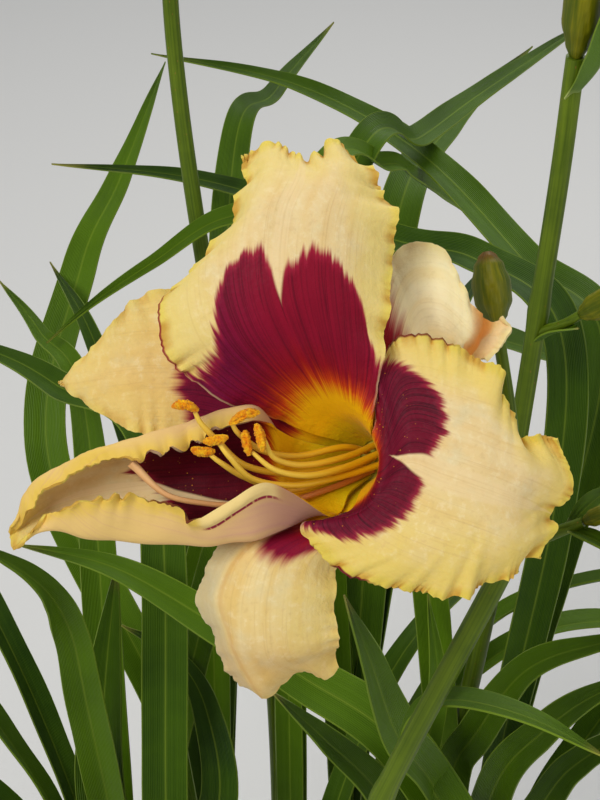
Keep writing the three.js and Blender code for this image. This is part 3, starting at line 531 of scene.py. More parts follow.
@dataclass(frozen=True)
class PotPlastic:
    """Black blow-moulded nursery plastic, with fine grain and dust caught low down."""

    black: tuple = tint(30, 31, 33)
    dust: tuple = tint(86, 78, 68)

    def build(self) -> Finish:
        """Builds the material."""
        shade = Shade("nursery_pot_plastic", Specular_IOR_Level=0.5)
        place = shade.place()
        height = shade.node("SeparateXYZ", place).outputs[2]
        scuff = shade.fibres(place, (60, 60, 220), 4, 0.6)
        low = shade.step(height, 0.06, 0.0)
        dusty = shade.times(shade.plus(low, 0.12), shade.step(scuff, 0.45, 0.75))
        colour = shade.mix(shade.times(dusty, 0.55), self.black, self.dust)
        roughness = shade.step(scuff, 0.3, 0.7, 0.42, 0.6)
        pebble = shade.grain(place, 1400, 1)
        level = shade.stretched(place, (0, 0, 1))
        rings = shade.node("TexWave", level, wave_type="BANDS", bands_direction="Z")
        rings.inputs["Scale"].default_value = 140
        return shade.wear(colour, roughness, [(pebble, 0.05), (rings.outputs["Fac"], 0.05), (scuff, 0.15)])


@dataclass(frozen=True)
class PottingMix:
    """Dark damp peat with paler bark flecks."""

    peat: tuple = tint(38, 26, 18)
    bark: tuple = tint(92, 62, 40)
    wet: tuple = tint(20, 14, 10)

    def build(self) -> Finish:
        """Builds the material."""
        shade = Shade("potting_mix", Specular_IOR_Level=0.25)
        place = shade.place()
        lumps = shade.grain(place, 260, 5, 0.65)
        cells = shade.node("TexVoronoi", place)
        cells.inputs["Scale"].default_value = 420
        fleck = shade.step(cells.outputs["Color"], 0.62, 0.8)
        colour = shade.ramp(lumps, [(0.3, self.wet), (0.52, self.peat), (0.75, self.bark)])
        colour = shade.mix(shade.times(fleck, 0.35), colour, self.bark)
        roughness = shade.step(lumps, 0.3, 0.7, 0.7, 1.0)
        return shade.wear(colour, roughness, [(lumps, 2.0), (cells.outputs["Distance"], 0.8)])


@dataclass(frozen=True)
class LeafSkin:
    """A strap leaf's face or back: parallel veins, a pale keel and edges, every blade its own green."""

    name: str
    deep: tuple = tint(28, 58, 2)
    fresh: tuple = tint(88, 122, 4)
    pale: tuple = tint(132, 152, 42)
    foot: tuple = tint(184, 194, 112)
    tip: tuple = tint(150, 140, 60)
    keel: float = 0.42
    veins: float = 26.0

    def build(self) -> Finish:
        """Builds the material."""
        shade = Shade(self.name, Specular_IOR_Level=0.2)
        where = shade.map()
        across, along = shade.split(where)
        tone = shade.mark("tone")
        place = shade.place()
        blotch = shade.grain(place, 22, 3, 0.6)
        streak = shade.fibres(where, (self.veins * 1.6, 3.0, 1), 3, 0.6)
        wave = shade.math("SINE", shade.times(across, TURN * self.veins))
        green = shade.plus(tone, shade.sway(blotch, 0.45))
        green = shade.plus(green, shade.sway(streak, 0.275))
        colour = shade.mix(shade.plus(green, 0.0, clamp=True), self.deep, self.fresh)
        ridge = shade.step(wave, 0.2, 1.0, 0, 0.10)
        colour = shade.mix(ridge, colour, self.pale)
        off_keel = shade.apart(across, 0.5)
        keel = shade.step(off_keel, 0.045, 0.0)
        colour = shade.mix(shade.times(keel, self.keel), colour, self.pale)
        edge = shade.step(off_keel, 0.475, 0.497)
        colour = shade.mix(shade.times(edge, 0.5), colour, self.pale)
        base = shade.step(along, 0.16, 0.02)
        colour = shade.mix(shade.times(base, 0.75), colour, self.foot)
        tip = shade.times(shade.step(along, 0.93, 1.0), shade.step(blotch, 0.35, 0.6))
        colour = shade.mix(shade.times(tip, 0.8), colour, self.tip)
        roughness = shade.step(streak, 0.25, 0.75, 0.40, 0.56)
        return shade.wear(colour, roughness, [(wave, 0.07), (streak, 0.12)])


@dataclass(frozen=True)
class SheathSkin:
    """The folded leaf bases of a crown: pleated, pale at the soil and green above."""

    white: tuple = tint(206, 206, 146)
    green: tuple = tint(86, 122, 32)
    brown: tuple = tint(120, 84, 48)

    def build(self) -> Finish:
        """Builds the material."""
        shade = Shade("sheathing_leaf_bases", Specular_IOR_Level=0.4)
        where = shade.map()
        _, along = shade.split(where)
        streak = shade.fibres(where, (46, 1.5, 1), 3, 0.6)
        rise = shade.plus(along, shade.sway(streak, 0.2))
        colour = shade.ramp(rise, [(0.25, self.brown), (0.38, self.white), (0.85, self.green)])
        return shade.wear(colour, shade.step(streak, 0.3, 0.7, 0.45, 0.6), [(streak, 0.4)])


@dataclass(frozen=True)
class ScapeSkin:
    """A flower stalk: smooth light green with faint long streaks and a few tan scars."""

    green: tuple = tint(56, 78, 4)
    light: tuple = tint(102, 122, 20)
    scar: tuple = tint(150, 100, 46)

    def build(self) -> Finish:
        """Builds the material."""
        shade = Shade("scape_skin", Specular_IOR_Level=0.22)
        where = shade.map()
        place = shade.place()
        streak = shade.fibres(where, (22, 5, 1), 3, 0.6)
        bloom = shade.grain(place, 55, 3, 0.6)
        share = shade.plus(shade.times(streak, 0.7), shade.times(bloom, 0.35))
        colour = shade.ramp(share, [(0.32, self.green), (0.66, self.light)])
        spots = shade.node("TexVoronoi", shade.stretched(place, (70, 70, 28)))
        mark = shade.times(shade.step(spots.outputs["Distance"], 0.11, 0.04), 0.6)
        colour = shade.mix(mark, colour, self.scar)
        return shade.wear(colour, shade.step(streak, 0.3, 0.7, 0.4, 0.55), [(streak, 0.15), (bloom, 0.2)])


@dataclass(frozen=True)
class BudSkin:
    """A closed bud: ribbed yellow-green with a browned tip."""

    green: tuple = tint(76, 90, 4)
    yellow: tuple = tint(126, 122, 10)
    brown: tuple = tint(110, 68, 26)

    def build(self) -> Finish:
        """Builds the material."""
        shade = Shade("bud_skin", Specular_IOR_Level=0.22)
        where = shade.map()
        across, along = shade.split(where)
        streak = shade.fibres(where, (30, 2.2, 1), 3, 0.6)
        ribs = shade.math("COSINE", shade.times(across, 3 * TURN))
        share = shade.plus(shade.times(ribs, 0.16), streak)
        colour = shade.ramp(share, [(0.32, self.green), (0.72, self.yellow)])
        tip = shade.step(shade.plus(along, shade.times(streak, 0.12)), 0.84, 1.0)
        colour = shade.mix(shade.times(tip, 0.8), colour, self.brown)
        return shade.wear(colour, 0.48, [(streak, 0.25), (ribs, 0.1)])


@dataclass(frozen=True)
class TepalFace:
    """The inner face of a petal or sepal: glowing throat, dark feathered eye, pale rib and gold margin.

    Places are given across the tepal from -1 at its clockwise margin to 1, and along it from 0 at its foot
    to 1 at its tip. The mesh carries the line of veins and the distance to the margin in millimetres, and how
    high the crinkle stands.
    """

    name: str
    eye_edge: tuple[Pair, ...]                  # the eye's outer border: across, along
    throat_edge: tuple[Pair, ...] = ((-1, 0.32), (1, 0.32))
    rib: tuple[Triple, ...] = ((0, 0, 0), (1, 0, 0))      # along, its middle across, half its width across
    picotee_left: tuple[Pair, ...] = ((0, 0), (1, 0))     # along, strength, on the clockwise margin
    picotee_right: tuple[Pair, ...] = ((0, 0), (1, 0))    # and on the other
    skylit_side: tuple[Pair, ...] = ((-1, 0), (1, 0))       # across, strength of the painted grey-blue skylight where a margin turns up to the sky
    crease_shade: tuple[Pair, ...] = ((-1, 0), (1, 0))          # across, strength of the painted brown shade in the crease of a fold
    sunny_side: tuple[Pair, ...] = ((-1, 0), (1, 0))      # across, strength of the straw yellow cast
    plum_side: tuple[Pair, ...] = ((-1, 0), (1, 0))       # across, how purple the eye turns
    curl_shade: tuple[Pair, ...] = ((0, 0), (1, 0))            # along, strength of the painted orange shade inside a curled tip
    feather: float = 0.016                      # half the length of the streaks at the eye's border
    softness: float = 0.013                     # half the width over which the eye fades out
    rib_share: float = 0.4                      # how clearly the pale rib stands out
    gold: float = 1.0                           # how strongly the margin turns gold
    pollen: float = 0.0                         # how much pollen has dropped on it
    pollen_end: float = 0.5                     # how far along the pollen lies
    ground: tuple = tint(234, 206, 150)
    blush: tuple = tint(228, 192, 126)
    cool: tuple = tint(212, 204, 166)
    straw: tuple = tint(231, 205, 116)
    margin: tuple = tint(228, 202, 88)
    # painted shade in the valleys of the margin's crinkle
    painted_valley_shade: tuple = tint(200, 152, 54)
    vein: tuple = tint(196, 156, 96)
    # painted skylight, grey-blue, on margins turned up to the sky
    painted_skylight: tuple = tint(188, 178, 146)
    # painted brown shade in the crease of a fold
    brown: tuple = tint(206, 148, 72)
    eye: tuple = tint(138, 8, 38)
    eye_deep: tuple = tint(86, 2, 24)
    eye_warm: tuple = tint(152, 12, 12)
    eye_rim: tuple = tint(176, 34, 62)
    plum: tuple = tint(104, 10, 58)
    ember: tuple = tint(196, 66, 8)
    yellow: tuple = tint(236, 176, 4)
    green: tuple = tint(204, 176, 4)
    # painted highlight on the crests of the raised pebbling
    light: tuple = tint(246, 226, 178)
    # painted orange shade inside a curled tip
    orange: tuple = tint(206, 118, 22)
    rib_pale: tuple = tint(238, 208, 156)
    dust: tuple = tint(232, 160, 4)

    @staticmethod
    def _height(shade: Shade, across: Socket, points: tuple[Pair, ...]) -> Socket:
        """Follows a curve whose points are given from -1 to 1 across."""
        return shade.curve(across, [((v + 1) / 2, height) for v, height in points])

    def _ground(self, shade: Shade, across: Socket, along: Socket, fine: Socket, broad: Socket) -> Socket:
        """Mixes the ground: cream with faint veins and cool patches, straw and then gold towards the margin,
        with painted highlights and shade on the raised pebbling, painted shade in the crinkle's valleys, in
        creases and in curls, and painted skylight on margins that turn up.

        Args:
            shade: The material in the making.
            across: Place across the tepal.
            along: Place along it.
            fine: Noise as narrow as one vein.
            broad: Noise as broad as several.

        Returns:
            The colour.
        """
        edge, crest = shade.mark("edge"), shade.mark("crest")
        patch = shade.grain(shade.place(), 95, 3, 0.6)
        colour = shade.mix(shade.step(broad, 0.35, 0.75, 0, 0.8), self.ground, self.blush)
        colour = shade.mix(shade.step(patch, 0.5, 0.75, 0, 0.4), colour, self.cool)
        sunny = shade.times(self._height(shade, across, self.sunny_side), shade.step(patch, 0.7, 0.3, 0.5, 1))
        colour = shade.mix(sunny, colour, self.straw)
        raised_pebbling = shade.grain(shade.place(), 420, 3, 0.65)
        # Painted highlights on the crests of the raised pebbling, which the same noise lifts as relief, and
        # painted shade in its hollows, in the vein colour.
        colour = shade.mix(shade.step(raised_pebbling, 0.5, 0.72, 0, 0.4), colour, self.light)
        colour = shade.mix(shade.step(raised_pebbling, 0.46, 0.28, 0, 0.22), colour, self.vein)
        colour = shade.mix(shade.step(fine, 0.52, 0.75, 0, 0.26), colour, self.vein)
        opening = shade.step(along, 0.36, 0.52, 0, self.gold)
        wide = shade.plus(edge, shade.sway(patch, 7.0))
        colour = shade.mix(shade.times(shade.step(wide, 18.0, 4.0, 0, 0.8), opening), colour, self.straw)
        # Painted shade: the gold margin turns darker where the crinkle dips between its crests.
        gold = shade.mix(shade.step(crest, 0.62, 0.34), self.margin, self.painted_valley_shade)
        narrow = shade.plus(edge, shade.sway(patch, 2.5))
        colour = shade.mix(shade.times(shade.step(narrow, 4.5, 0.6, 0, 0.9), opening), colour, gold)
        # Painted skylight: a grey-blue cast on the strip of margin that turns up towards the sky.
        colour = shade.mix(self._height(shade, across, self.skylit_side), colour, self.painted_skylight)
        # Painted shade: orange inside the curl of a tip.
        colour = shade.mix(shade.curve(along, self.curl_shade), colour, self.orange)
        # Painted shade: a brown line in the crease of a fold.
        return shade.mix(self._height(shade, across, self.crease_shade), colour, self.brown)

    def _eye(self, shade: Shade, colour: Socket, across: Socket, along: Socket, lines: Socket) -> Socket:
        """Lays the dark eye with its feathered border and the throat's glow on the ground.

        Args:
            shade: The material in the making.
            colour: Its colour so far.
            across: Place across the tepal.
            along: Place along it.
            lines: Coordinates that run with the veins.

        Returns:
            The colour.
        """
        teeth = shade.fibres(lines, (0.45, 3.0, 1), 2, 0.55, shift=(3, 1, 0))
        rays = shade.fibres(lines, (1.7, 1.2, 1), 2, shift=(5, 2, 0))
        reach = shade.plus(along, shade.sway(teeth, 2.6 * self.feather))
        reach = shade.plus(reach, shade.sway(rays, 1.0 * self.feather))
        ahead = shade.minus(self._height(shade, across, self.eye_edge), reach)
        eye = shade.step(ahead, -self.softness, self.softness)
        throat = self._height(shade, across, self.throat_edge)
        past = shade.minus(shade.plus(along, shade.sway(rays, 0.03)), throat)
        past = shade.plus(past, shade.sway(teeth, 0.015))
        veins = shade.fibres(lines, (1.3, 0.8, 1), 2, shift=(11, 0, 0))
        fold_shade = shade.fibres(lines, (0.22, 2.0, 1), 2, shift=(7, 0, 0))
        threads = shade.fibres(lines, (0.55, 0.9, 1), 1, shift=(17, 0, 0))
        off_thread = shade.apart(threads, 0.5)
        dark = shade.mix(self._height(shade, across, self.plum_side), self.eye, self.plum)
        dark = shade.mix(shade.step(past, 0.10, 0.01, 0, 0.85), dark, self.eye_warm)
        dark = shade.mix(shade.step(veins, 0.48, 0.72, 0, 0.55), dark, self.eye_deep)
        # Painted shade of broad folds: darker streaks along the eye's veins.
        dark = shade.mix(shade.step(fold_shade, 0.4, 0.75, 0, 0.4), dark, self.eye_deep)
        dark = shade.mix(shade.step(off_thread, 0.03, 0.004, 0, 0.6), dark, self.eye_deep)
        dark = shade.mix(shade.step(ahead, 0.035, 0.0, 0, 0.6), dark, self.eye_rim)
        rib = shade.curve(along, [(t, (v + 1) / 2) for t, v, _ in self.rib])
        off_rib = shade.apart(across, rib)
        half = shade.curve(along, [(t, w / 2) for t, _, w in self.rib])
        on_rib = shade.step(shade.minus(half, off_rib), 0.0, 0.014)
        colour = shade.mix(shade.times(on_rib, self.rib_share), colour, self.rib_pale)
        by_rib = shade.times(shade.step(off_rib, 0.05, 0.0), shade.step(rays, 0.5, 0.62, 0, 0.16))
        colour = shade.mix(by_rib, colour, self.vein)
        eye = shade.times(eye, shade.minus(1.0, on_rib))
        colour = shade.mix(eye, colour, dark)
        rim = shade.times(eye, shade.step(shade.mark("edge"), 0.7, 0.3, 0, 0.35))
        colour = shade.mix(rim, colour, self.rib_pale)
        glow = [(0.30, self.green), (0.42, self.yellow), (0.475, self.yellow), (0.512, self.ember)]
        heart = shade.ramp(shade.plus(past, 0.5), [*glow, (0.55, self.eye_warm)])
        return shade.mix(shade.step(past, 0.05, 0.0), colour, heart)

    def _trim(self, shade: Shade, colour: Socket, across: Socket, along: Socket) -> Socket:
        """Adds the dark line on the margin and the dropped pollen.

        Args:
            shade: The material in the making.
            colour: Its colour so far.
            across: Place across the tepal.
            along: Place along it.

        Returns:
            The colour.
        """
        line = shade.step(shade.mark("edge"), 0.9, 0.35)
        left = shade.math("LESS_THAN", across, 0.5)
        on_left = shade.times(shade.curve(along, self.picotee_left), left)
        on_right = shade.times(shade.curve(along, self.picotee_right), shade.minus(1.0, left))
        mark = shade.times(line, shade.plus(on_left, on_right), clamp=True)
        colour = shade.mix(mark, colour, self.eye)
        if not self.pollen:
            return colour
        specks = shade.node("TexVoronoi", shade.place())
        specks.inputs["Scale"].default_value = 760
        scarce = shade.step(shade.grain(shade.place(), 260, 2), 0.5, 0.62)
        dot = shade.times(shade.step(specks.outputs["Distance"], 0.15, 0.10), scarce)
        near = shade.step(along, self.pollen_end, self.pollen_end - 0.08, 0, self.pollen)
        return shade.mix(shade.times(dot, near), colour, self.dust)

    def build(self) -> Finish:
        """Builds the material."""
        shade = Shade(
            self.name, Specular_IOR_Level=0.14, Sheen_Weight=0.03, Sheen_Roughness=0.4,
            Subsurface_Weight=0.08, Subsurface_Radius=(0.003, 0.0018, 0.0008), Subsurface_Scale=1.0,
        )
        across, along = shade.split(shade.map())
        lines = shade.join(shade.mark("vein"), along)
        broad = shade.fibres(lines, (0.25, 3.0, 1), 2)
        fine = shade.fibres(lines, (1.3, 3.5, 1), 2)
        pebble = shade.grain(shade.place(), 1100, 2, 0.6)
        raised_pebbling = shade.grain(shade.place(), 420, 3, 0.65)
        crumple = shade.grain(shade.place(), 330, 3, 0.6)
        crumple = shade.times(crumple, shade.step(shade.mark("edge"), 15.0, 2.0))
        colour = self._ground(shade, across, along, fine, broad)
        colour = self._eye(shade, colour, across, along, lines)
        colour = self._trim(shade, colour, across, along)
        roughness = shade.step(pebble, 0.3, 0.7, 0.54, 0.68)
        reliefs = [(fine, 0.07), (broad, 0.14), (raised_pebbling, 0.16), (pebble, 0.07), (crumple, 0.5)]
        return shade.wear(colour, roughness, reliefs)


@dataclass(frozen=True)
class TepalBack:
    """The outer face of a petal or sepal: cream with a dull pink cast, a greenish rib and long veins."""

    name: str
    dashes: tuple[Pair, ...] = ((0, 0), (1, 0))     # along, strength of the broken dark line near the margin
    roll: tuple = tint(240, 210, 138)
    cream: tuple = tint(230, 192, 116)
    cast: tuple = tint(208, 150, 130)
    rib: tuple = tint(186, 160, 78)
    gold: tuple = tint(228, 190, 72)
    # the back's greyish pink flush towards its foot, with painted shade where the lower part turns under near
    # the tube
    foot: tuple = tint(172, 118, 108)
    dark: tuple = tint(140, 22, 54)

    def build(self) -> Finish:
        """Builds the material."""
        shade = Shade(self.name, Specular_IOR_Level=0.14, Sheen_Weight=0.03, Sheen_Roughness=0.4)
        across, along = shade.split(shade.map())
        side = shade.apart(shade.times(across, 2.0), 1.0)
        edge = shade.mark("edge")
        lines = shade.join(shade.mark("vein"), along)
        broad = shade.fibres(lines, (0.3, 2.5, 1), 2)
        fine = shade.fibres(lines, (1.3, 4.0, 1), 2)
        patch = shade.grain(shade.place(), 95, 3, 0.6)
        pebble = shade.grain(shade.place(), 1100, 2, 0.6)
        middle = shade.times(shade.step(edge, 2.0, 9.0), shade.step(along, 0.75, 0.35))
        middle = shade.times(middle, shade.step(broad, 0.25, 0.7, 0.25, 0.8))
        colour = shade.mix(middle, self.cream, self.cast)
        wide = shade.plus(edge, shade.sway(patch, 4.0))
        colour = shade.mix(shade.step(wide, 6.0, 0.5, 0, 0.85), colour, self.gold)
        colour = shade.mix(shade.step(side, 0.14, 0.02, 0, 0.4), colour, self.rib)
        colour = shade.mix(shade.step(fine, 0.5, 0.72, 0, 0.22), colour, self.cast)
        # Darker towards the foot: the back's own flush, with painted shade near the tube.
        colour = shade.mix(shade.step(along, 0.46, 0.3, 0, 0.85), colour, self.foot)
        turned = shade.times(shade.curve(along, self.dashes), shade.math("GREATER_THAN", across, 0.5))
        on_roll = shade.times(shade.step(edge, 4.1, 3.6, 0, 0.85), turned)
        colour = shade.mix(on_roll, colour, self.roll)
        off_line = shade.apart(edge, 4.2)
        broken = shade.step(shade.fibres(lines, (0.3, 150, 1), 1), 0.34, 0.5, 0.35, 1)
        dash = shade.times(shade.step(off_line, 0.7, 0.2), broken)
        colour = shade.mix(shade.times(dash, turned), colour, self.dark)
        roughness = shade.step(pebble, 0.3, 0.7, 0.54, 0.68)
        return shade.wear(colour, roughness, [(fine, 0.07), (broad, 0.12), (pebble, 0.06)])


@dataclass(frozen=True)
class ThroatTube:
    """The floral tube: green at the ovary, yellow-green where it opens."""

    green: tuple = tint(96, 122, 40)
    yellow: tuple = tint(190, 178, 46)

    def build(self) -> Finish:
        """Builds the material."""
        shade = Shade("floral_tube_skin", Specular_IOR_Level=0.45)
        where = shade.map()
        _, along = shade.split(where)
        streak = shade.fibres(where, (36, 2, 1), 3, 0.6)
        rise = shade.plus(along, shade.sway(streak, 0.15))
        colour = shade.ramp(rise, [(0.2, self.green), (0.75, self.yellow)])
        return shade.wear(colour, 0.5, [(streak, 0.2)])


@dataclass(frozen=True)
class Threads:
    """Filaments and the style: a colour at the foot and one towards the end."""

    name: str
    foot: tuple
    end: tuple

    def build(self) -> Finish:
        """Builds the material."""
        shade = Shade(self.name, Specular_IOR_Level=0.35, Sheen_Weight=0.02)
        where = shade.map()
        _, along = shade.split(where)
        streak = shade.fibres(where, (8, 16, 1), 2)
        rise = shade.plus(along, shade.sway(streak, 0.1))
        colour = shade.ramp(rise, [(0.25, self.foot), (0.95, self.end)])
        return shade.wear(colour, 0.45, [(streak, 0.12)])


@dataclass(frozen=True)
class Pollen:
    """An anther crusted with orange pollen."""

    crust: tuple = tint(242, 148, 6)
    bright: tuple = tint(252, 194, 30)
    seam: tuple = tint(214, 110, 8)

    def build(self) -> Finish:
        """Builds the material."""
        shade = Shade("anther_pollen", Specular_IOR_Level=0.15, Sheen_Weight=0.08)
        place = shade.place()
        grains = shade.node("TexVoronoi", place)
        grains.inputs["Scale"].default_value = 3200
        patch = shade.grain(place, 700, 3, 0.6)
        colour = shade.ramp(patch, [(0.28, self.seam), (0.42, self.crust), (0.66, self.bright)])
        return shade.wear(colour, 0.85, [(grains.outputs["Distance"], 0.22), (patch, 0.45)])


# ---------------------------------------------------------------- pot and soil


@dataclass
class NurseryPot:
    """A plain round plastic pot with a banded rim and drain holes low in its wall."""

    height: float = 220
    top_radius: float = 130
    base_radius: float = 98
    wall: float = 3
    floor: float = 4
    rim_height: float = 16
    rim_step: float = 6
    holes: int = 6
    hole_radius: float = 7
    sides: int = 128

    def outside(self, z: float) -> float:
        """Gives the wall's outside radius at a height."""
        return self.base_radius + (self.top_radius - self.rim_step - self.base_radius) * z / self.height

    def inside(self, z: float) -> float:
        """Gives the wall's inside radius at a height."""
        return self.outside(z) - self.wall

    def profile(self) -> list[Pair]:
        """Gives the radii and heights that the wall climbs and comes down again inside."""
        rim = self.height - self.rim_height
        bead = 0.9
        foot = [(self.base_radius - 3, 0), (self.base_radius - 1, 0.4), (self.outside(2.2), 2.2)]
        bands: list[Pair] = []
        for z in (30, 34, rim - 22, rim - 18):
            side = self.outside(z)
            bands += [(side, z), (side + bead, z + 0.8), (side + bead, z + 1.6)]
            bands += [(self.outside(z + 2.4), z + 2.4)]
        edge, mouth = self.top_radius, self.inside(self.height)
        lip = [
            (self.outside(rim), rim - 0.2), (edge - 1.6, rim + 0.4), (edge - 1, rim + 1.6),
            (edge - 0.5, self.height - 6), (edge, self.height - 4.4), (edge, self.height - 1.4),
            (edge - 1.2, self.height), (mouth + 1.4, self.height), (mouth, self.height - 1.2),
        ]
        return foot + bands + lip + [(self.inside(self.floor), self.floor)]

    def build(self) -> Piece:
        """Turns a round base up through the profile, drills the drain holes and shades it smoothly.

        Returns:
            The pot.
        """
        radius, z = self.profile()[0]
        Workbench.clear()
        bpy.ops.mesh.primitive_circle_add(vertices=self.sides, radius=radius * MM, fill_type="NGON")
        pot = bpy.context.object
        pot.name = pot.data.name = "nursery_pot"
        bpy.ops.object.mode_set(mode="EDIT")
        for wider, higher in self.profile()[1:]:
            bpy.ops.mesh.extrude_region_move(TRANSFORM_OT_translate={"value": (0, 0, (higher - z) * MM)})
            share = wider / radius
            bpy.ops.transform.resize(value=(share, share, 1), center_override=(0, 0, higher * MM))
            radius, z = wider, higher
        bpy.ops.mesh.select_all(action="SELECT")
        bpy.ops.mesh.normals_make_consistent(inside=False)
        bpy.ops.object.mode_set(mode="OBJECT")
        self._drill(pot)
        pot.data.materials.append(PotPlastic().build())
        Workbench.smooth(pot, 35)
        return Workbench.seat(pot, "pot", "pot")

    def _drill(self, pot: Piece) -> None:
        """Cuts the ring of drain holes through the wall."""
        drills = []
        for i in range(self.holes):
            turn = TURN * (i + 0.5) / self.holes
            centre = Vector((math.cos(turn), math.sin(turn), 0)) * self.base_radius
            centre.z = self.floor + self.hole_radius + 4
            Workbench.clear()
            bpy.ops.mesh.primitive_cylinder_add(
                vertices=32, radius=self.hole_radius * MM, depth=30 * MM, location=centre * MM,
                rotation=(0, math.pi / 2, turn),
            )
            drills.append(bpy.context.object)
        drill = Workbench.join("drill", drills)
        Workbench.choose([pot])
        cut = pot.modifiers.new("drain_holes", "BOOLEAN")
        cut.operation, cut.object, cut.solver = "DIFFERENCE", drill, "EXACT"
        bpy.ops.object.modifier_apply(modifier=cut.name)
        bpy.data.objects.remove(drill)


@dataclass
class SoilFill:
    """The potting mix that fills the pot, with loose crumbs and bark on its surface."""

    pot: NurseryPot
    top: float = 200
    relief: float = 3.5
    clearance: float = 1.0
    crumbs: int = 420
    chips: int = 90
    seed: int = 7

    def height(self, x: float, y: float) -> float:
        """Gives the height of the crumbly surface."""
        lumps = math.sin(x / 11 + 1.7 * math.sin(y / 17)) * math.cos(y / 9 + 1.3 * math.sin(x / 23))
        rough = noise.fractal(Vector((x, y, 0)) / 7, 0.6, 2.2, 4)
        return self.top + self.relief * lumps * 0.8 + 1.1 * rough

    def body(self) -> Piece:
        """Builds the filling: its surface, its side against the pot and its flat bottom."""
        sides, rings = 200, 64
        rim = self.pot.inside(self.top) - self.clearance
        foot = self.pot.floor + 0.3

        def ring(radius: float, z: float | None) -> list[Vector]:
            """Lays one ring, on the crumbly surface where no height is given."""
            row = []
            for j in range(sides + 1):
                turn = TURN * (j % sides) / sides
                x, y = radius * math.cos(turn), radius * math.sin(turn)
                drop = 3.0 * ease(radius, rim - 7, rim)
                row.append(Vector((x, y, self.height(x, y) - drop if z is None else z)))
            return row

        rows = [ring(rim * i / rings, None) for i in range(rings + 1)]
        rows += [ring(self.pot.inside(z) - self.clearance, z) for z in (self.top - 9, 120, 60, foot + 1)]
        rows += [ring(self.pot.inside(foot) - 2.5, foot), ring(40, foot), ring(0, foot)]
        return Workbench.weld(Workbench.net("soil_body", rows))

    def scatter(self) -> list[Piece]:
        """Drops crumbs and bark chips on the surface."""
        chance = Chance(self.seed)
        pieces = []
        for i in range(self.crumbs + self.chips):
            radius = math.sqrt(chance.draw()) * (self.pot.inside(self.top) - 6)
            turn = chance.between(0, TURN)
            x, y = radius * math.cos(turn), radius * math.sin(turn)
            place = Vector((x, y, self.height(x, y) + 0.2)) * MM
            Workbench.clear()
            if i < self.crumbs:
                size = chance.between(0.8, 2.6) * MM
                bpy.ops.mesh.primitive_ico_sphere_add(subdivisions=1, radius=size, location=place)
                stretch = (1, chance.between(0.6, 1), chance.between(0.5, 0.9))
            else:
                size = chance.between(4, 9) * MM
                bpy.ops.mesh.primitive_cube_add(size=size, location=place)
                stretch = (1, chance.between(0.4, 0.7), chance.between(0.12, 0.25))
            chip = bpy.context.object
            chip.scale = stretch
            tilts = [chance.between(-0.5, 0.5), chance.between(-0.5, 0.5)]
            chip.rotation_euler = [*tilts, chance.between(0, TURN)]
            bpy.ops.object.transform_apply(location=True, rotation=True, scale=True)
            for vertex in chip.data.vertices:
                vertex.co += Vector([chance.between(-0.16, 0.16) * size * share for share in (1, 1, 0.5)])
            pieces.append(chip)
        return pieces

    def build(self) -> list[Piece]:
        """Builds the filling and what lies loose on it.

        Returns:
            The two pieces.
        """
        finish = PottingMix().build()
        fill = self.body()
        loose = Workbench.join("soil_crumbs", self.scatter())
        for piece in (fill, loose):
            piece.data.materials.clear()
            piece.data.materials.append(finish)
        Workbench.smooth(fill, 60)
        return [Workbench.seat(fill, "soil", "soil"), Workbench.seat(loose, "soil", "soil")]


# ---------------------------------------------------------------- leaves


KEEL_ROUNDING = 0.015       # how softly the keel turns, in squares of the half width
KEEL_FLOOR = 0.1225         # its root: what the rounding lifts the keel by
KEEL_SPAN = 0.885           # and the rise that is left from there to the edge


@dataclass
class Blade:
    """One keeled strap leaf along a curve.

    A blade with a face keeps its upper side turned that way. Any other starts level and turns with its curve.
    """

    points: list[Vector]
    width: float
    face: Vector | None = None
    twist: float = 0.0
    fold: float = 24.0
    base_share: float = 0.5
    thickness: float = 0.8
    across: int = 12
    step: float = 5.5
    ripple: float = 0.5
    ripple_length: float = 61

    def taper(self, share: float) -> float:
        """Gives the width at a share of the length, as a share of the widest."""
        closing = max((share - 0.5) / 0.5, 0) ** 2.2
        return (self.base_share + (1 - self.base_share) * ease(share, 0, 0.4)) * (1 - closing)

    def rows(self) -> Rows:
        """Lays the blade's upper face: a rounded keel, two raised halves and a faint ripple at the edges."""
        path = Spline(self.points)
        length = sum((b - a).length for a, b in zip(self.points, self.points[1:]))
        steps = max(int(length / self.step), 8)
        centres = [path.point(i / steps) for i in range(steps + 1)]
        travelled = [0.0]
        for a, b in zip(centres, centres[1:]):
            travelled.append(travelled[-1] + (b - a).length)
        rise = math.tan(math.radians(self.fold))
        reach = self.points[-1] - self.points[0]
        across = Vector((reach.y, -reach.x, 0)).normalized()
        phase = self.points[-1].x * 0.37 + self.points[-1].y * 0.23
        rows: Rows = []
        for i, centre in enumerate(centres):
            share = travelled[i] / travelled[-1]
            along = path.tangent(i / steps)
            if self.face is not None:
                across = along.cross(self.face)
            across = (across - along * across.dot(along)).normalized()
            side = Matrix.Rotation(math.radians(self.twist) * share, 3, along) @ across
            top = side.cross(along)
            half = max(self.width / 2 * self.taper(share), 0.12)
            row = []
            for j in range(self.across + 1):
                s = 2 * j / self.across - 1
                lift = rise * half * (math.sqrt(s * s + KEEL_ROUNDING) - KEEL_FLOOR) / KEEL_SPAN
                wave = math.sin(TURN * travelled[i] / self.ripple_length + phase + (1.9 if s > 0 else 0))
                lift += self.ripple * s**4 * wave * ease(share, 0.15, 0.35) * min(half / 6, 1)
                row.append(centre + side * (s * half) + top * lift)
            rows.append(row)
        return rows

    def build(self, name: str, tone: float) -> Piece:
        """Builds the blade's upper face.

        Args:
            name: The piece's name.
            tone: Its shade of green, 0 deep to 1 fresh.

        Returns:
            The sheet, still without thickness.
        """
        rows = self.rows()
        return Workbench.net(name, rows, {"tone": [[tone] * len(row) for row in rows]})


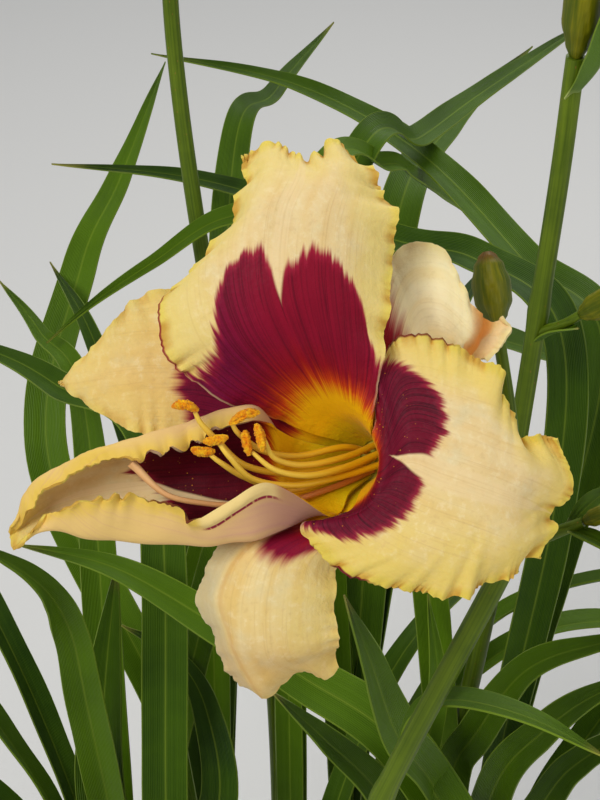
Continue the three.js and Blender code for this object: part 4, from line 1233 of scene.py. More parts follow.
@dataclass
class LeafFan:
    """One fan of a clump: an oval crown of folded leaf bases and the blades that rise from it."""

    name: str
    x: float
    y: float
    plane: float                    # degrees, the way that its leaves spread
    grown: int                      # blades that follow the rule
    vigour: float                   # their usual length
    placed: list[tuple[float, list[Triple]]]    # blades given one by one: width and points
    blades: list[Blade] = field(default_factory=list)
    soil_top: float = 200
    root_height: float = 22
    spread: float = 8
    crown_depth: float = 24
    crown_height: float = 70
    crown_half_width: float = 15
    crown_half_thickness: float = 8

    def along_plane(self) -> Vector:
        """Gives the level direction that the fan spreads in."""
        return Vector((math.cos(math.radians(self.plane)), math.sin(math.radians(self.plane)), 0))

    def root(self, heading: Vector) -> Vector:
        """Gives the place where a blade that heads a given way stands in the crown."""
        foot = Vector((self.x, self.y, self.soil_top + self.root_height))
        return foot + self.along_plane() * (self.spread * self.along_plane().dot(heading))

    def lay_placed(self, face: Vector) -> None:
        """Lays the listed blades: steep out of the crown, then along their own points."""
        for width, points in self.placed:
            own = vectors(points)
            heading = Vector((own[0].x - self.x, own[0].y - self.y, 0)).normalized()
            root = self.root(heading)
            away = own[0] - root
            climb = root + Vector((0.3 * away.x, 0.3 * away.y, 0.55 * away.z))
            self.blades.append(Blade([root, climb, *own], width, face=face))

    def grow(self, index: int, chance: Chance, width: float, lean: float) -> Blade:
        """Grows one blade by rule: the first of a fan arches down and the last stands most upright.

        Args:
            index: Which of the fan's grown blades it is.
            chance: The run of numbers that it varies by.
            width: The usual width.
            lean: Degrees over which the blades lean about the fan's plane.

        Returns:
            The blade.
        """
        order = (index + 0.5) / self.grown
        facing = math.radians(self.plane + lean * (chance.draw() - 0.5))
        heading = Vector((math.cos(facing), math.sin(facing), 0))
        length = self.vigour * (0.82 + 0.3 * chance.draw())
        reach = length * (0.74 - 0.3 * order) * (0.9 + 0.2 * chance.draw())
        outwards = (0, 0.1, 0.36, 0.7, 1)
        arching = (0, 0.34, 0.55, 0.52, 0.3 + 0.1 * chance.draw())
        upright = (0, 0.34, 0.66, 0.8, 0.78 + 0.08 * chance.draw())
        root = self.root(heading)
        points = [
            root + heading * (reach * out) + UP * (length * (low + (high - low) * order))
            for out, low, high in zip(outwards, arching, upright)
        ]
        own_width = width * (0.8 + 0.4 * chance.draw())
        return Blade(points, own_width, twist=50 * (chance.draw() - 0.5))

    def crown(self) -> Piece:
        """Builds the crown: an oval sheath pleated by the leaf bases folded over each other."""
        levels = [
            (-self.crown_depth, 0.78), (0, 1.0), (0.35 * self.crown_height, 0.97),
            (0.6 * self.crown_height, 0.9), (0.85 * self.crown_height, 0.74), (self.crown_height, 0.5),
        ]
        plane = self.along_plane()
        over = UP.cross(plane)
        sides, steps = 72, 30
        foot = Vector((self.x, self.y, self.soil_top))
        rows: Rows = []
        for i in range(steps + 1):
            height = blend([z for z, _ in levels], i / steps)
            share = blend([s for _, s in levels], i / steps)
            row = []
            for j in range(sides + 1):
                turn = TURN * (j % sides) / sides
                pleat = 1 + 0.055 * (1 - abs((turn / TURN * 14 + 0.6 * i / steps) % 1 * 2 - 1)) - 0.03
                long = self.crown_half_width * share * math.cos(turn) * pleat
                short = self.crown_half_thickness * share * math.sin(turn) * pleat
                row.append(foot + plane * long + over * short + UP * height)
            rows.append(row)
        rows = capped(rows, foot - UP * self.crown_depth, foot + UP * (self.crown_height + 1))
        return Workbench.weld(Workbench.net(f"{self.name}_crown", rows))

    def build(self, chance: Chance, face: Finish, back: Finish, sheath: Finish) -> list[Piece]:
        """Builds the crown and all the blades.

        Args:
            chance: The run of numbers that their shades of green vary by.
            face: Finish of the blades' upper faces.
            back: Finish of their backs.
            sheath: Finish of the crown.

        Returns:
            The crown and the joined blades.
        """
        crown = self.crown()
        crown.data.materials.append(sheath)
        Workbench.smooth(crown, 70)
        sheets = [
            blade.build(f"{self.name}_{i}", chance.between(0.1, 0.9)) for i, blade in enumerate(self.blades)
        ]
        leaves = Workbench.join(f"{self.name}_leaves", sheets)
        leaves.data.materials.append(face)
        leaves.data.materials.append(back)
        Workbench.thicken(leaves, self.blades[0].thickness, -1)
        Workbench.smooth(leaves, 60)
        return [Workbench.seat(piece, self.name, "leaf") for piece in (crown, leaves)]


@dataclass
class Space:
    """The room that one thing takes up: places on it and how far it reaches round them."""

    owner: str
    half: float
    samples: np.ndarray

    @classmethod
    def round_curve(cls, owner: str, points: Sequence[Vector], half: float) -> "Space":
        """Takes the room round a curve."""
        path = Spline(points)
        return cls(owner, half, np.array([path.point(i / 48) for i in range(49)], dtype=float))

    def clear_of(self, other: "Space", air: float) -> bool:
        """Tells whether there is air all the way to another thing."""
        if self.owner == other.owner:
            return True
        gaps = np.linalg.norm(self.samples[:, None] - other.samples[None], axis=2)
        return bool(gaps.min() > self.half + other.half + air)


@dataclass
class Foliage:
    """All the fans of the clump; the blades that grow by rule keep clear of other fans' blades, the scapes,
    the pot's rim and the bloom's room.
    """

    fans: list[LeafFan]
    face: Vector = field(default_factory=lambda: Vector((0, -0.5, 0.86)))
    seed: int = 20
    width: float = 15
    lean: float = 170
    tries: int = 40
    air: float = 3

    def grow(self, standing: list[Space]) -> None:
        """Lays every placed blade, and then grows the others where they pass clear.

        Args:
            standing: The room already taken. The blades' own is added to it.
        """
        chance = Chance(self.seed)
        for fan in self.fans:
            fan.lay_placed(self.face)
            standing += [Space.round_curve(fan.name, blade.points, blade.width / 2) for blade in fan.blades]
        for fan in self.fans:
            for index in range(fan.grown):
                for _ in range(self.tries):
                    blade = fan.grow(index, chance, self.width, self.lean)
                    space = Space.round_curve(fan.name, blade.points, blade.width / 2)
                    if all(space.clear_of(other, self.air) for other in standing):
                        standing.append(space)
                        fan.blades.append(blade)
                        break

    def build(self) -> list[Piece]:
        """Builds every fan.

        Returns:
            All their pieces.
        """
        face = LeafSkin("leaf_face").build()
        back = LeafSkin(
            "leaf_back", deep=tint(48, 80, 18), fresh=tint(96, 130, 38), pale=tint(142, 164, 76), keel=0.7,
        ).build()
        sheath = SheathSkin().build()
        chance = Chance(self.seed)
        return [piece for fan in self.fans for piece in fan.build(chance, face, back, sheath)]


FANS = [
    LeafFan("fan_front_left", -55, -38, 215, 4, 400, [
        (20, [(-55, 75, 575), (-100, 110, 590), (-130, 140, 585), (-165, 175, 570)]),
    ]),
    LeafFan("fan_front_right", 52, -45, -45, 4, 400, []),
    LeafFan("fan_right", 88, 28, 5, 1, 430, [
        (24, [(88, -17, 408), (51, -4, 482), (10, 12, 507), (-26, 20, 530), (-70, 35, 550), (-115, 55, 545)]),
        (16, [(63, 17, 424), (70, 34, 475), (67, 72, 498)]),
        (18, [(140, 105, 605), (111, 170, 617), (66, 250, 629), (5, 317, 631), (-75, 375, 620)]),
        (17, [(118, 62, 560), (115, 85, 640), (85, 135, 640), (50, 175, 625), (-40, 250, 612),
             (-125, 305, 590)]),
        (21, [(70, -3, 444), (47, -42, 531), (34, -66, 598), (23, -85, 652)]),
        (18, [(43, -15, 462), (18, -39, 527), (-2, -59, 577)]),
        (16, [(53, 124, 580), (15, 165, 640), (-27, 190, 627), (-62, 187, 604), (-91, 176, 588),
             (-114, 172, 568)]),
        (17, [(80, 39, 405), (89, 31, 450), (105, 17, 506), (128, -2, 542), (155, -25, 572)]),
        (17, [(94, -3, 454), (108, -21, 511), (124, -41, 557), (143, -66, 594)]),
        (16, [(121, 14, 424), (133, 6, 461), (152, -8, 497), (171, -22, 524)]),
    ]),
    LeafFan("fan_middle", 5, 12, 95, 3, 400, []),
    LeafFan("fan_left", -78, 32, 165, 3, 440, [
        (18, [(-95, 150, 543), (-120, 190, 562), (-145, 230, 565)]),
        (24, [(-85, 30, 420), (-80, 38, 475), (-72, 55, 535)]),
        (19, [(-30, 15, 415), (-35, 40, 455), (-50, 55, 475), (-75, 70, 480)]),
        (17, [(-85, 15, 487), (-87, 10, 535), (-92, -3, 573), (-102, -28, 615), (-111, -48, 642)]),
        (12, [(12, 155, 659), (48, 205, 647), (66, 230, 624), (120, 304, 541), (168, 371, 445),
             (214, 434, 360)]),
        (17, [(2, 98, 592), (76, 186, 571), (105, 215, 541), (152, 262, 491), (183, 293, 450),
             (257, 367, 348)]),
        (17, [(31, 194, 648), (67, 247, 638), (101, 298, 635), (180, 415, 625)]),
    ]),
    LeafFan("fan_back_right", 28, 82, 53, 5, 450, [
        (24, [(56, 246, 581), (92, 345, 592), (145, 425, 600)]),
    ]),
    LeafFan("fan_back_left", -32, 84, 130, 4, 450, [
        (20, [(-27, 290, 600), (-6, 352, 608), (28, 432, 612)]),
        (22, [(-125, 200, 470), (-110, 275, 543), (-92, 327, 567), (-70, 405, 600)]),
    ]),
]


# ---------------------------------------------------------------- scapes and buds


@dataclass
class Bud:
    """A closed bud in line with the stem or branch that it ends."""

    name: str
    length: float
    radius: float
    seat: float = 0.3
    sides: int = 48
    steps: int = 44

    def build(self, before: Vector, end: Vector, finish: Finish) -> Piece:
        """Builds the bud: six overlapping tepals show as ribs and seams, and their tips part at the end.

        Args:
            before: The place next to the stem's end.
            end: The stem's end.
            finish: The bud's skin.

        Returns:
            The bud.
        """
        along = (end - before).normalized()
        base = end + along * self.seat
        across = perpendicular(along)
        over = along.cross(across)
        swells = [(0, 0.36), (0.08, 0.62), (0.3, 0.96), (0.55, 1), (0.8, 0.78), (0.94, 0.45), (1, 0.16)]
        rows: Rows = []
        for i in range(self.steps + 1):
            share = i / self.steps
            k = next(k for k in range(len(swells) - 1) if share <= swells[k + 1][0])
            (a, low), (b, high) = swells[k], swells[k + 1]
            f = (share - a) / (b - a)
            swell = low + (high - low) * (f if k in (0, len(swells) - 2) else f * f * (3 - 2 * f))
            row = []
            for j in range(self.sides + 1):
                turn = TURN * (j % self.sides) / self.sides
                seam = abs(math.sin(1.5 * turn + 2.2 * (share - 0.4)))
                groove = 0.10 * ease(seam, 0.16, 0.0) * ease(share, 0.05, 0.25)
                lobes = 0.22 * math.cos(3 * turn) * ease(share, 0.86, 1.0)
                r = self.radius * swell * (1 + 0.05 * math.cos(3 * turn) - groove + lobes)
                place = base + along * (self.length * share)
                row.append(place + across * (r * math.cos(turn)) + over * (r * math.sin(turn)))
            rows.append(row)
        rows = capped(rows, base, base + along * (self.length * 0.985))
        bud = Workbench.weld(Workbench.net(self.name + "_skin", rows))
        bud.data.materials.append(finish)
        Workbench.smooth(bud, 60)
        return Workbench.seat(bud, self.name, "bud")


@dataclass
class Stalk:
    """A stem or branch: its points, its radii and the bud that it may end in."""

    points: list[Triple]
    radii: list[float]
    bud: Bud | None = None


@dataclass
class Scape:
    """A flower stalk with its side branches and bracts."""

    name: str
    stem: Stalk
    branches: list[Stalk]
    bracts: list[tuple[float, list[Triple]]]    # width and points
    sides: int = 24
    nodes: tuple[float, ...] = ()               # shares of the stem where it swells at a bract
    bract_thickness: float = 0.7

    def swell(self, share: float, turn: float) -> float:
        """Gives the stem's faint fluting and its swellings."""
        knots = sum(0.16 * math.exp(-(((share - at) / 0.010) ** 2)) for at in self.nodes)
        return 1 + 0.012 * math.cos(7 * turn) + knots

    def build(self, skin: Finish, bud_skin: Finish, face: Finish, back: Finish) -> list[Piece]:
        """Builds the stalks as one piece, the bracts as another and each bud.

        Args:
            skin: Finish of the stalks.
            bud_skin: Finish of the buds.
            face: Finish of the bracts' upper faces.
            back: Finish of their backs.

        Returns:
            The pieces.
        """
        stem = sweep(vectors(self.stem.points), self.stem.radii, self.sides, 160, self.swell)
        tubes = [Workbench.net("stem", stem)]
        for branch in self.branches:
            tubes.append(Workbench.net("branch", sweep(vectors(branch.points), branch.radii, 18, 30)))
        stalks = Workbench.join(f"{self.name}_stalk", [Workbench.weld(tube) for tube in tubes])
        stalks.data.materials.append(skin)
        Workbench.smooth(stalks, 60)
        sheets = [
            Blade(vectors(points), width, across=10, step=2.0, ripple=0.25).build(f"{self.name}_bract", 0.75)
            for width, points in self.bracts
        ]
        bracts = Workbench.join(f"{self.name}_bracts", sheets)
        bracts.data.materials.append(face)
        bracts.data.materials.append(back)
        Workbench.thicken(bracts, self.bract_thickness, -1)
        Workbench.smooth(bracts, 60)
        pieces = [Workbench.seat(piece, self.name, "scape") for piece in (stalks, bracts)]
        for stalk in (self.stem, *self.branches):
            if stalk.bud:
                before, end = vectors(stalk.points[-2:])
                pieces.append(stalk.bud.build(before, end, bud_skin))
        return pieces


# ---------------------------------------------------------------- the open bloom


@dataclass(frozen=True)
class Throat:
    """The bloom's own frame and the funnel in its middle.

    In the bloom's frame x runs right across its face, y up it and z out of it.
    """

    centre: Triple = (13, -132, 750)
    pitch: float = 52                   # degrees that the bloom is tipped back from upright
    yaw: float = 36                     # degrees that the tube turns left in the bloom's frame
    tube_top: float = -28.1             # along the throat's axis from the middle of the mouth
    tube_foot: float = -58

    def point(self, along: float, radius: float, azimuth: float) -> Vector:
        """Finds a point of the funnel, in the bloom's frame.

        Args:
            along: Distance along the throat's axis.
            radius: Distance from it.
            azimuth: Degrees round it.

        Returns:
            The place.
        """
        yaw, turn = math.radians(self.yaw), math.radians(azimuth)
        axis = Vector((-math.sin(yaw), 0, math.cos(yaw)))
        across = Vector((math.cos(yaw), 0, math.sin(yaw)))
        up = Vector((0, 1, 0))
        return axis * along + across * (radius * math.cos(turn)) + up * (radius * math.sin(turn))

    def in_plant(self, place: Vector) -> Vector:
        """Moves a place from the bloom's frame into the plant's."""
        return Matrix.Rotation(math.radians(self.pitch), 3, "X") @ place + Vector(self.centre)

    def thread(self, depth: float, foot: Pair, points: Iterable[Triple]) -> list[Vector]:
        """Leads a thread from its foot, an azimuth and a ring radius, through points in the bloom's frame."""
        azimuth, ring = foot
        return [self.in_plant(p) for p in (self.point(depth, ring, azimuth), *vectors(points))]

    def below_tube(self, distance: float) -> Triple:
        """Gives the place on the throat's axis below the tube's foot, in the plant's frame."""
        return tuple(self.in_plant(self.point(self.tube_foot - distance, 0, 0)))


THROAT = Throat()


class TepalKind(Enum):
    """The two whorls: three broad petals in front of three narrower sepals."""

    PETAL = "petal"
    SEPAL = "sepal"


@dataclass
class Tepal:
    """One petal or sepal, laid through rows of guide points from the throat to the tip."""

    name: str
    kind: TepalKind
    azimuth: float
    rows: list[list[Triple]]
    face: TepalFace
    ruffle: float                   # height of the long waves of its margin
    waves: float                    # and their number over its length
    flounce: float = 0.9            # height of the middling waves, within some 6 mm of the margin
    lace: float = 0.5               # height of the fine crinkle on the margin itself
    flounce_pitch: float = 8.0
    lace_pitch: float = 2.8
    scallop: float = 0.35           # how far the crinkle also reaches out and in, as a share of its height
    crinkle_depth: float = 5.5      # how far the middling waves reach in from the margin
    lace_depth: float = 2.4         # how far the fine crinkle does
    reach_depth: float = 3.5        # and how far the middling waves' reach out and in
    lace_out: float = 1.3           # the fine crinkle's reach beside theirs
    frill_left: tuple[Pair, ...] = ((0, 1), (1, 1))     # along, share of the crinkle on the clockwise margin
    frill_right: tuple[Pair, ...] = ((0, 1), (1, 1))    # and on the other
    frill_tip: float = 0.7          # and over the tip
    roll: tuple[Pair, ...] = ((0, 0), (1, 0))           # along, how far the other margin puffs into a roll
    roll_width: float = 3.5
    roll_height: float = 1.3
    buckle: float = 0.4             # height of the low swells all over the blade
    buckle_pitch: float = 9.0
    thickness: float = 0.8
    across: int = 90
    along: int = 200

    def throat(self) -> list[Triple]:
        """Gives the rows of the funnel: distance along its axis, radius and half the angle covered."""
        if self.kind is TepalKind.PETAL:
            return [(-27.6, 5.2, 48), (-17, 9.5, 52), (-8, 15.5, 54)]
        return [(-27.6, 7.2, 40), (-18.5, 11.8, 42), (-10.5, 18, 42)]

    def long_wave(self, t: float, v: float) -> float:
        """Gives how far the margin's long waves stand off the smooth face, towards the back."""
        phase = TURN * (self.waves * t + (0.37 if v > 0 else 0))
        return self.ruffle * v**4 * math.sin(phase + 1.3 * math.sin(0.37 * phase))

    def crinkle(self, run: float, seed: float) -> tuple[Pair, Pair]:
        """Gives the crinkle of one margin at a place along it.

        Args:
            run: Millimetres along the margin.
            seed: Tells one margin from another.

        Returns:
            The middling wave and the fine one, each as its height and its reach in the tepal's own plane.
        """
        waves = []
        for pitch, height in ((self.flounce_pitch, self.flounce), (self.lace_pitch, self.lace)):
            drift = noise.noise(Vector((run / (1.9 * pitch), seed, pitch)))
            size = 0.75 + 0.9 * noise.noise(Vector((run / (2.3 * pitch), seed + 7, pitch)))
            phase = TURN * run / pitch + 6.5 * drift
            waves.append((height * size * math.sin(phase), height * size * math.sin(phase + 1.2)))
        return waves[0], waves[1]

    def smooth_rows(self) -> Rows:
        """Lays the tepal without its crinkled margin, in the bloom's frame."""
        guides = len(self.rows[0])
        middle = (guides - 1) / 2
        net = [
            [THROAT.point(along, radius, self.azimuth + (j - middle) / middle * half) for j in range(guides)]
            for along, radius, half in self.throat()
        ]
        net += [vectors(row) for row in self.rows]
        columns = [[row[j] for row in net] for j in range(guides)]
        rows: Rows = []
        for i in range(self.along + 1):
            line = [through(column, i / self.along * (len(net) - 1)) for column in columns]
            rows.append([through(line, j / self.across * (guides - 1)) for j in range(self.across + 1)])
        return rows

    @staticmethod
    def runs(line: Sequence[Vector]) -> list[float]:
        """Gives the distance from the start of a line to each of its points."""
        total = [0.0]
        for a, b in zip(line, line[1:]):
            total.append(total[-1] + (b - a).length)
        return total

    def surface(self) -> tuple[Rows, Marks]:
        """Lays the middle of the tepal's thickness.

        Returns:
            Its rows in the plant's frame, and what its finish reads: vein line, distance to the margin
            and crest.
        """
        smooth = self.smooth_rows()
        widths = [self.runs(row) for row in smooth]
        lengths = [self.runs([row[j] for row in smooth]) for j in range(self.across + 1)]
        widest = max(range(len(widths)), key=lambda i: widths[i][-1])
        margins = ((lengths[0], 1.0), (lengths[-1], 2.0))
        placed: Rows = []
        marks: Marks = {"vein": [], "edge": [], "crest": []}
        for i, row in enumerate(smooth):
            t = i / self.along
            opening = min(max((t - 0.25) / 0.2, 0), 1)
            sides = [self.crinkle(lengths_of[i], seed) for lengths_of, seed in margins]
            strengths = [float(np.interp(t, *zip(*frill))) for frill in (self.frill_left, self.frill_right)]
            strengths.append(self.frill_tip)
            fan = widths[widest][-1] / max(widths[i][-1], 1e-6) if i < widest else 1.0
            new, veins, edges, crests = [], [], [], []
            for j, place in enumerate(row):
                onward = (smooth[min(i + 1, self.along)][j] - smooth[max(i - 1, 0)][j]).normalized()
                sideways = (row[min(j + 1, self.across)] - row[max(j - 1, 0)]).normalized()
                normal = sideways.cross(onward).normalized()
                gaps = (widths[i][j], widths[i][-1] - widths[i][j], lengths[j][-1] - lengths[j][i])
                ways = (-sideways, sideways, onward)
                end = self.crinkle(widths[i][j], 3.0)
                height, shift = 0.0, Vector((0, 0, 0))
                for gap, way, strength, (middling, fine) in zip(gaps, ways, strengths, (*sides, end)):
                    near, nearer = math.exp(-gap / self.crinkle_depth), math.exp(-gap / self.lace_depth)
                    height += strength * (middling[0] * near + fine[0] * nearer)
                    reach = middling[1] * math.exp(-gap / self.reach_depth) + self.lace_out * fine[1] * nearer
                    shift += way * (strength * self.scallop * reach)
                v = 2 * j / self.across - 1
                if gaps[1] < self.roll_width:
                    puff = math.sin(math.pi * gaps[1] / self.roll_width)
                    wrinkle = 1 + 0.26 * noise.noise(Vector((lengths[j][i] / 1.1, 0.3 * gaps[1], 5.0)))
                    height += self.roll_height * float(np.interp(t, *zip(*self.roll))) * puff * wrinkle
                swell = self.buckle * noise.noise(place / self.buckle_pitch)
                stand = opening * (self.long_wave(t, v) + height + swell)
                new.append(THROAT.in_plant(place + normal * stand + shift * opening))
                veins.append((widths[i][j] - widths[i][self.across // 2]) * fan)
                edges.append(min(gaps))
                # the face paints shade in the crinkle's valleys where this is low
                crests.append(0.5 - 0.4 * height * opening)
            placed.append(new)
            for label, values in zip(marks, (veins, edges, crests)):
                marks[label].append(values)
        return placed, marks

    def build(self, back: Finish) -> Piece:
        """Builds the tepal, its face towards the front of the bloom.

        Args:
            back: Finish of its outer face.

        Returns:
            The tepal.
        """
        rows, marks = self.surface()
        tepal = Workbench.flip(Workbench.net(self.name + "_blade", rows, marks))
        tepal.data.materials.append(self.face.build())
        tepal.data.materials.append(back)
        Workbench.thicken(tepal, self.thickness, 0)
        Workbench.smooth(tepal, 80)
        return Workbench.seat(tepal, self.name, self.kind.value)


@dataclass
class FloralTube:
    """The ovary and the narrow tube above it, widening to the dish that the tepals stand in."""

    sides: int = 40
    steps: int = 48

    def build(self) -> Piece:
        """Builds the tube.

        Returns:
            The tube.
        """
        top, foot = THROAT.tube_top, THROAT.tube_foot
        profile = [(foot, 3.2), (foot + 6, 4.3), (foot + 13, 3.4), (top - 10, 4.6), (top, 8.6)]
        line = [Vector((along, radius, 0)) for along, radius in profile]
        rows: Rows = []
        for i in range(self.steps + 1):
            spot = through(line, i / self.steps * (len(line) - 1))
            row = []
            for j in range(self.sides + 1):
                azimuth = 360 * (j % self.sides) / self.sides
                rib = 1 - 0.06 * ease(abs(math.sin(math.radians(1.5 * azimuth))), 0.2, 0.0)
                row.append(THROAT.in_plant(THROAT.point(spot.x, spot.y * rib, azimuth)))
            rows.append(row)
        ends = [THROAT.in_plant(THROAT.point(along, 0, 0)) for along in (foot, top - 1.2)]
        tube = Workbench.weld(Workbench.net("floral_tube_wall", capped(rows, *ends)))
        tube.data.materials.append(ThroatTube().build())
        Workbench.smooth(tube, 60)
        return Workbench.seat(tube, "floral_tube", "scape")


@dataclass
class Stamen:
    """A curved filament with a two-lobed anther."""

    foot: Pair                      # azimuth and ring radius in the throat
    filament: list[Triple]
    anther: list[Triple]
    filament_radius: float = 0.95
    anther_radius: float = 1.25
    depth: float = -27.6

    def build(self, name: str, thread: Finish, pollen: Finish) -> Piece:
        """Builds the filament and its anther as one piece.

        Args:
            name: The node that the stamen stands for.
            thread: The filament's finish.
            pollen: The anther's finish.

        Returns:
            The stamen.
        """
        path = THROAT.thread(self.depth, self.foot, self.filament)
        radii = [self.filament_radius * share for share in (1.05, 1, 0.95, 0.85, 0.6)]
        thin = Workbench.weld(Workbench.net("filament", sweep(path, radii, 14, 70)))
        thin.data.materials.append(thread)
        body = [THROAT.in_plant(p) for p in vectors(self.anther)]
        swells = [self.anther_radius * share for share in (0.35, 0.85, 1.05, 1, 1.05, 0.85, 0.35)]

        def lobes(share: float, turn: float) -> float:
            """Pinches the anther into two lobes and roughens it."""
            pinch = 0.3 * ease(abs(math.sin(turn)), 0.45, 0.0)
            spot = Vector((2.2 * math.cos(turn), 2.2 * math.sin(turn), 9 * share)) + body[0] * 3.0
            return 1 - pinch + 0.2 * noise.noise(spot) + 0.26 * noise.noise(spot * 2.7)

        thick = Workbench.weld(Workbench.net("anther", sweep(body, swells, 28, 40, lobes)))
        thick.data.materials.append(pollen)
        stamen = Workbench.join(name + "_thread", [thin, thick])
        Workbench.smooth(stamen, 60)
        return Workbench.seat(stamen, name, "stamen")


@dataclass
class Pistil:
    """The long style, which curves up to a small three-lobed stigma."""

    foot: Pair
    style: list[Triple]
    radius: float = 0.9
    depth: float = -27.4

    def build(self) -> Piece:
        """Builds the pistil.

        Returns:
            The pistil.
        """
        path = THROAT.thread(self.depth, self.foot, self.style)
        radii = [self.radius * share for share in (1, 1, 0.9, 0.85, 0.85, 0.85, 0.9, 1.35)]

        def stigma(share: float, turn: float) -> float:
            """Spreads the end into three lobes."""
            return 1 + 0.2 * math.cos(3 * turn) * ease(share, 0.965, 1.0)

        pistil = Workbench.weld(Workbench.net("pistil_style", sweep(path, radii, 24, 130, stigma)))
        pistil.data.materials.append(Threads("style_skin", tint(208, 124, 50), tint(240, 186, 124)).build())
        Workbench.smooth(pistil, 60)
        return Workbench.seat(pistil, "pistil", "pistil")


